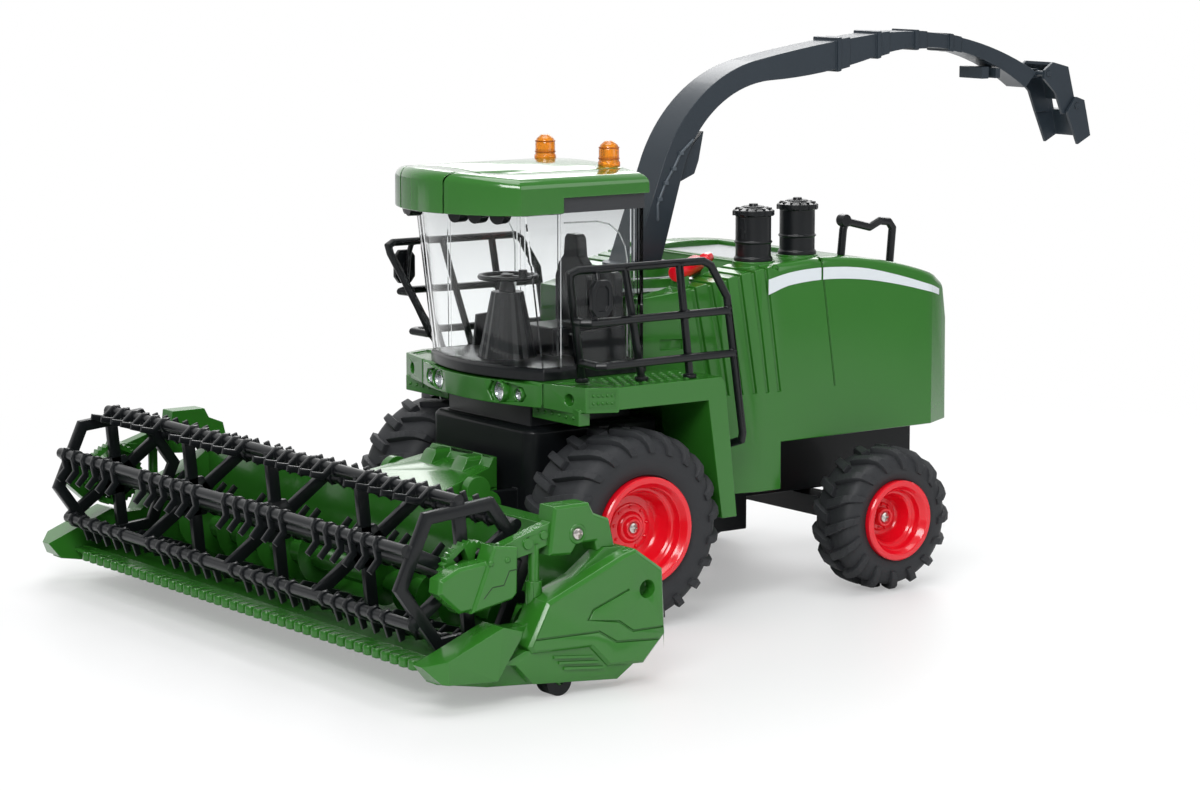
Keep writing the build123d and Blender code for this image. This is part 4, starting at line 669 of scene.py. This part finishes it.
# Header floor and feeder hood.
# Glossy green ABS. The knife along its front is moulded on: round-nosed teeth, and slanted ribs
# on the strip behind them.
TOOTH_PITCH = 4.5
TEETH = 42
NOSE_R = 1.6
NOSE_H = 2.7
softened("header_table", green_abs, 0.15)
softened("feeder_mount", green_abs, 0.3)
bm = bmesh.new()
for i in range(TEETH):
    x = (i - (TEETH - 1) / 2) * TOOTH_PITCH
    nose = bmesh.ops.create_cone(bm, cap_ends=True, segments=14, radius1=NOSE_R, radius2=NOSE_R,
                                 depth=NOSE_H, matrix=Matrix.Translation((x, -102.5, 9.8)))["verts"]
    rims = [e for e in {e for v in nose for e in v.link_edges}
            if abs(e.verts[0].co.z - e.verts[1].co.z) < 0.1]
    bmesh.ops.bevel(bm, geom=rims, offset=0.5, offset_type="OFFSET", segments=2, profile=0.5,
                    affect="EDGES", material=-1)
    for step in (0.0, 0.5):
        brick(bm, (x + step * TOOTH_PITCH, -99.2, 10.9), (0.7, 4.6, 0.8),
              Matrix.Rotation(math.radians(-42), 4, "Z"))
place(bm, "knife_teeth", "header", green_abs)

# End covers and reel arms.
# Faceted green covers screwed to the table's ends, and the reel's arms, gear covers and screwed
# housings on top of them. The thin lines along the steps between the moulded panels are painted shade.
NOSE_SCREW = (112.7, -95.2, 13.6)
HOUSING_SCREW = (107.5, -60.2, 42.6)
COVER_LINE = ((-80.2, 35.4), (-82.6, 35.2), (-84.4, 31.6), (-88.0, 31.4), (-90.6, 28.8))
for side in ("left", "right"):
    softened("end_cover_" + side, green_abs, 0.15, cut=True)
    softened("reel_arm_" + side, green_abs, 0.2)
bm = bmesh.new()
for spot in (NOSE_SCREW, HOUSING_SCREW):
    screw_head(bm, Matrix.Translation(spot), SCREW_R)
both_sides(bm)
place(bm, "cover_screws", "header", screw_steel, 30)
bm = bmesh.new()
for x, y, z in (NOSE_SCREW, HOUSING_SCREW):
    boss = turned([(-0.4, 1.9), (0.25, 1.9), (0.4, 2.1), (0.4, 2.5), (0.1, 2.8), (-0.4, 2.9),
                   (-0.4, 1.9)], 32)
    bmesh.ops.transform(boss, verts=boss.verts, matrix=Matrix.Translation((x, y, z)))
    merge(bm, boss)
    boss.free()
for y, z in ((-88.4, 37.8), (-83.2, 38.2)):
    stud(bm, 108.2, y, z, 0.9, 0.5, Matrix.Rotation(math.radians(90), 4, "Y"))
both_sides(bm)
place(bm, "cover_bosses", "header", green_abs, 40)
# Near-black green for the rods along the covers' panel steps: painted shade in those steps, not the
# plastic's own colour.
groove_shade_green = moulded("groove_shade_green", (0.006, 0.036, 0.004), 0.4, 900.0, 0.05)
bm = bmesh.new()
rods(bm, [(108.15, y, z) for y, z in COVER_LINE], 0.16, 8)
both_sides(bm)
place(bm, "cover_lines", "header", groove_shade_green, 60)

# Reel.
# Black ABS on one shaft: five spiders, six bars, and on the bars collars with kinked tines. A
# green gear stands at each end.
REEL_MIDDLE = (-89.6, 33.3)
REEL_HALF = 97.8
BARS = 6
BAYS = 4
BAY_TINES = 6
BAR_CIRCLE = 20.2
BAR_TURN = 95.4
BAR_R = 1.58
SHAFT_R = 2.7
HUB_R = 6.8
SPIDER_T = 2.0
LINK_T = 2.3
TINE_FIRST = 4.6
TINE_GAP = 6.3
TINE_T = 1.25
TINE_SHAPE = ((2.0, -1.6), (2.1, 1.0), (-0.2, 4.3), (0.9, 8.0), (-0.7, 8.5), (-2.3, 4.4), (-0.7, 1.6),
              (-1.9, -1.6))


def cross_rod(bm, y, z, radius, x0, x1, sides):
    """Round rod across the machine, from x0 to x1."""
    matrix = Matrix.Translation(((x0 + x1) / 2, y, z)) @ Matrix.Rotation(math.radians(90), 4, "Y")
    return bmesh.ops.create_cone(bm, cap_ends=True, segments=sides, radius1=radius, radius2=radius,
                                 depth=x1 - x0, matrix=matrix)["verts"]


def thicken(bm, faces, x0, x1, edge):
    """Slab from a flat face at x0 to x1, its long edges rounded."""
    slab = bmesh.ops.extrude_face_region(bm, geom=faces)["geom"]
    raised = [g for g in slab if isinstance(g, bmesh.types.BMVert)]
    bmesh.ops.translate(bm, verts=raised, vec=(x1 - x0, 0, 0))
    bmesh.ops.recalc_face_normals(bm, faces=bm.faces)
    rims = [e for e in bm.edges if abs(e.verts[0].co.x - e.verts[1].co.x) < 0.01
            and len(e.link_faces) == 2 and e.calc_face_angle() > 1.0]
    bmesh.ops.bevel(bm, geom=rims, offset=edge, offset_type="OFFSET", segments=2, profile=0.5,
                    affect="EDGES", material=-1)


def copies(bm, one, matrices):
    """Joins a copy of a mesh at each place."""
    for matrix in matrices:
        shell = one.copy()
        shell.transform(matrix)
        bm.from_mesh(shell)
        bpy.data.meshes.remove(shell)


def as_mesh(bm):
    """Ends a bmesh as a mesh to be copied."""
    mesh = bpy.data.meshes.new("part")
    bm.to_mesh(mesh)
    bm.free()
    return mesh


bm = bmesh.new()
loops = []
for reach in (BAR_CIRCLE + 1.7, BAR_CIRCLE - 2.2):
    corners = bmesh.ops.create_circle(bm, segments=BARS, radius=reach,
                                      matrix=Matrix.Rotation(math.radians(90), 4, "Y"))
    loops += list({e for v in corners["verts"] for e in v.link_edges})
link_faces = bmesh.ops.bridge_loops(bm, edges=loops)["faces"]
thicken(bm, link_faces, -LINK_T / 2, LINK_T / 2, 0.3)
bmesh.ops.translate(bm, verts=bm.verts, vec=(-LINK_T / 2, 0, 0))
bmesh.ops.rotate(bm, verts=bm.verts, cent=(0, 0, 0),
                 matrix=Matrix.Rotation(math.radians(90), 3, "X"))
link_ring = as_mesh(bm)
bm = bmesh.new()
across = Matrix.Rotation(math.radians(90), 4, "X") @ Matrix.Rotation(math.radians(90), 4, "Y")
bmesh.ops.create_cone(bm, cap_ends=True, segments=BARS, radius1=HUB_R, radius2=HUB_R,
                      depth=SPIDER_T, matrix=across)
for i in range(BARS):
    brick(bm, (0, 0, 0), (SPIDER_T, BAR_CIRCLE - 3, 3.6),
          Matrix.Rotation(math.radians(60 * i), 4, "X")
          @ Matrix.Translation((0, (BAR_CIRCLE + 3) / 2, 0)))
sides = [e for e in bm.edges if len(e.link_faces) == 2 and e.calc_face_angle() > 1.0]
bmesh.ops.bevel(bm, geom=sides, offset=0.3, offset_type="OFFSET", segments=2, profile=0.5,
                affect="EDGES", material=-1)
spider = as_mesh(bm)
bm = bmesh.new()
outline = [bm.verts.new((-TINE_T / 2, BAR_CIRCLE + out, aside)) for out, aside in TINE_SHAPE]
thicken(bm, [bm.faces.new(outline)], -TINE_T / 2, TINE_T / 2, 0.28)
tine = as_mesh(bm)
bm = bmesh.new()
sleeve = cross_rod(bm, BAR_CIRCLE, 0, 2.15, -0.9, 0.9, 14)
rims = [e for e in {e for v in sleeve for e in v.link_edges}
        if abs(e.verts[0].co.x - e.verts[1].co.x) < 0.1]
bmesh.ops.bevel(bm, geom=rims, offset=0.35, offset_type="OFFSET", segments=2, profile=0.5,
                affect="EDGES", material=-1)
collar = as_mesh(bm)

middle = Matrix.Translation((0, *REEL_MIDDLE))
bm = bmesh.new()
cross_rod(bm, *REEL_MIDDLE, SHAFT_R, -REEL_HALF, REEL_HALF, 32)
for i in range(BAYS + 1):
    x = -REEL_HALF + SPIDER_T / 2 + i * (REEL_HALF - SPIDER_T / 2) / 2
    turn = middle @ Matrix.Translation((x, 0, 0)) @ Matrix.Rotation(math.radians(BAR_TURN), 4, "X")
    copies(bm, spider, [turn])
    if i in (0, BAYS):
        copies(bm, link_ring, [turn])
for bar in range(BARS):
    turn = middle @ Matrix.Rotation(math.radians(BAR_TURN + 60 * bar), 4, "X")
    firsts = [-REEL_HALF + bay * REEL_HALF / 2 + TINE_FIRST for bay in range(BAYS)]
    spots = [turn @ Matrix.Translation((first + TINE_GAP * k, 0, 0))
             for first in firsts for k in range(BAY_TINES)]
    copies(bm, tine, spots)
    copies(bm, collar, spots)
    y, z = (turn @ Vector((0, BAR_CIRCLE, 0))).yz
    cross_rod(bm, y, z, BAR_R, -REEL_HALF + 0.05, REEL_HALF - 0.05, 20)
place(bm, "reel_moulding", "reel_rotor", trim_black, 35, hides=("reel",))
softened("reel_gears", green_abs, 0.1)

# Auger.
# Green ABS core with two thin helical flights, one of each hand, that feed the crop to the
# middle. It has a short pin at each end and lies in the trough of the header's floor.
AUGER_AT = (-63.0, 16.0)
FLIGHT_PITCH = 12.0
FLIGHT_RUN = 85.0
TURN_STEPS = 36
STEP_X = FLIGHT_PITCH / TURN_STEPS
BLADE = ((14.0, 3.0, -0.45), (14.0, 7.8, -0.3), (14.0, 7.8, 0.3), (14.0, 3.0, 0.45))
bm = bmesh.new()
face = bm.faces.new([bm.verts.new(corner) for corner in BLADE])
count = int(FLIGHT_RUN / STEP_X)
bmesh.ops.spin(bm, geom=[face], cent=(0, 0, 0), axis=(1, 0, 0), dvec=(STEP_X, 0, 0),
               angle=-math.tau * count / TURN_STEPS, steps=count)
bmesh.ops.translate(bm, verts=bm.verts, vec=(0, *AUGER_AT))
both_sides(bm)
cross_rod(bm, *AUGER_AT, 3.6, -101.0, 101.0, 40)
cross_rod(bm, *AUGER_AT, 1.6, -103.0, 103.0, 24)
place(bm, "auger_flights", "auger_rotor", green_abs, 40, hides=("auger",))

# Ground rollers.
# Small black ABS rollers on pins in the pockets of the end covers. The header runs on them when
# it is down.
dress(black_abs, "ground_roller_left", "ground_roller_right")

# Floor, lights and camera.
# A plain pale floor that fades to white away from the toy, soft boxes round and above it, and the
# camera at the photo's viewing angle.
floor_mesh = bpy.data.meshes.new("studio_floor")
bm = bmesh.new()
bmesh.ops.create_grid(bm, x_segments=1, y_segments=1, size=6.0)
bm.to_mesh(floor_mesh)
bm.free()
floor = bpy.data.objects.new("studio_floor", floor_mesh)
bpy.context.scene.collection.objects.link(floor)
floor_mat = bpy.data.materials.new("studio_floor")
floor_mat.use_nodes = True
floor_nodes, floor_links = floor_mat.node_tree.nodes, floor_mat.node_tree.links
floor_shader = floor_nodes["Principled BSDF"]
floor_shader.inputs["Base Color"].default_value = (0.82, 0.82, 0.82, 1)
floor_shader.inputs["Roughness"].default_value = 0.45
floor_glow = floor_nodes.new("ShaderNodeEmission")
floor_glow.inputs["Color"].default_value = (1, 1, 1, 1)
floor_ray = floor_nodes.new("ShaderNodeLightPath")
floor_place = floor_nodes.new("ShaderNodeTexCoord")
floor_reach = floor_nodes.new("ShaderNodeVectorMath")
floor_reach.operation = "LENGTH"
floor_links.new(floor_place.outputs["Object"], floor_reach.inputs[0])
floor_fade = floor_nodes.new("ShaderNodeMapRange")
floor_fade.interpolation_type = "SMOOTHSTEP"
floor_fade.inputs["From Min"].default_value = 0.16
floor_fade.inputs["From Max"].default_value = 0.42
floor_fade.inputs["To Min"].default_value = 0.35
floor_links.new(floor_reach.outputs["Value"], floor_fade.inputs["Value"])
floor_seen = floor_nodes.new("ShaderNodeMath")
floor_seen.operation = "MULTIPLY"
floor_links.new(floor_fade.outputs["Result"], floor_seen.inputs[0])
floor_links.new(floor_ray.outputs["Is Camera Ray"], floor_seen.inputs[1])
floor_mix = floor_nodes.new("ShaderNodeMixShader")
floor_links.new(floor_seen.outputs["Value"], floor_mix.inputs["Fac"])
floor_links.new(floor_shader.outputs["BSDF"], floor_mix.inputs[1])
floor_links.new(floor_glow.outputs["Emission"], floor_mix.inputs[2])
floor_links.new(floor_mix.outputs["Shader"], floor_nodes["Material Output"].inputs["Surface"])
floor.data.materials.append(floor_mat)

world = bpy.data.worlds.new("studio")
world.use_nodes = True
bpy.context.scene.world = world
sky, sky_links = world.node_tree.nodes, world.node_tree.links
sky_light = sky["Background"]
sky_light.inputs["Color"].default_value = (0.95, 0.97, 1.0, 1)
sky_light.inputs["Strength"].default_value = 0.34
sky_white = sky.new("ShaderNodeBackground")
sky_white.inputs["Color"].default_value = (1, 1, 1, 1)
sky_ray = sky.new("ShaderNodeLightPath")
sky_through = sky.new("ShaderNodeMath")
sky_through.operation = "MAXIMUM"
sky_links.new(sky_ray.outputs["Is Camera Ray"], sky_through.inputs[0])
sky_links.new(sky_ray.outputs["Is Transmission Ray"], sky_through.inputs[1])
sky_way = sky.new("ShaderNodeTexCoord")
sky_behind = sky.new("ShaderNodeVectorMath")
sky_behind.operation = "DOT_PRODUCT"
sky_behind.inputs[1].default_value = (-0.80, 0.58, 0.15)
sky_links.new(sky_way.outputs["Generated"], sky_behind.inputs[0])
sky_back = sky.new("ShaderNodeMapRange")
sky_back.interpolation_type = "SMOOTHSTEP"
sky_back.inputs["From Min"].default_value = 0.1
sky_back.inputs["From Max"].default_value = 0.8
sky_links.new(sky_behind.outputs["Value"], sky_back.inputs["Value"])
sky_gloss = sky.new("ShaderNodeMath")
sky_gloss.operation = "MULTIPLY"
sky_links.new(sky_ray.outputs["Is Glossy Ray"], sky_gloss.inputs[0])
sky_links.new(sky_back.outputs["Result"], sky_gloss.inputs[1])
sky_seen = sky.new("ShaderNodeMath")
sky_seen.operation = "MAXIMUM"
sky_links.new(sky_through.outputs["Value"], sky_seen.inputs[0])
sky_links.new(sky_gloss.outputs["Value"], sky_seen.inputs[1])
sky_mix = sky.new("ShaderNodeMixShader")
sky_links.new(sky_seen.outputs["Value"], sky_mix.inputs["Fac"])
sky_links.new(sky_light.outputs["Background"], sky_mix.inputs[1])
sky_links.new(sky_white.outputs["Background"], sky_mix.inputs[2])
sky_links.new(sky_mix.outputs["Shader"], sky["World Output"].inputs["Surface"])


def soft_box(name, place, aim, size, power):
    """Rectangular area lamp turned towards a point, in metres and watts."""
    light = bpy.data.lights.new(name, "AREA")
    light.shape = "RECTANGLE"
    light.size, light.size_y = size
    light.energy = power
    lamp = bpy.data.objects.new(name, light)
    lamp.location = place
    lamp.rotation_euler = (Vector(aim) - Vector(place)).to_track_quat("-Z", "Y").to_euler()
    bpy.context.scene.collection.objects.link(lamp)


soft_box("key", (0.62, -0.66, 0.62), (0.04, -0.08, 0.05), (0.45, 0.35), 5.5)
soft_box("fill", (0.95, 0.45, 0.45), (0.0, 0.05, 0.06), (0.6, 0.6), 1.6)
soft_box("back", (-0.7, 0.6, 0.7), (0.0, 0.0, 0.08), (0.8, 0.5), 5.0)
soft_box("top", (0.0, -0.1, 1.1), (0.0, 0.0, 0.0), (0.8, 0.8), 6.5)

CAMERA_PLACE = Vector((0.8537, -0.5901 - MIDDLE_Y, 0.2146))
CAMERA_AHEAD = Vector((-0.80285, 0.57810, -0.14569))
CAMERA_LENS = 104.81
camera_data = bpy.data.cameras.new("camera")
camera_data.lens = CAMERA_LENS
camera_data.sensor_width = 36.0
camera_data.clip_start = 0.05
camera = bpy.data.objects.new("camera", camera_data)
camera.location = CAMERA_PLACE
camera.rotation_euler = CAMERA_AHEAD.to_track_quat("-Z", "Y").to_euler()
bpy.context.scene.collection.objects.link(camera)
bpy.context.scene.camera = camera
bpy.context.scene.view_settings.view_transform = "Standard"
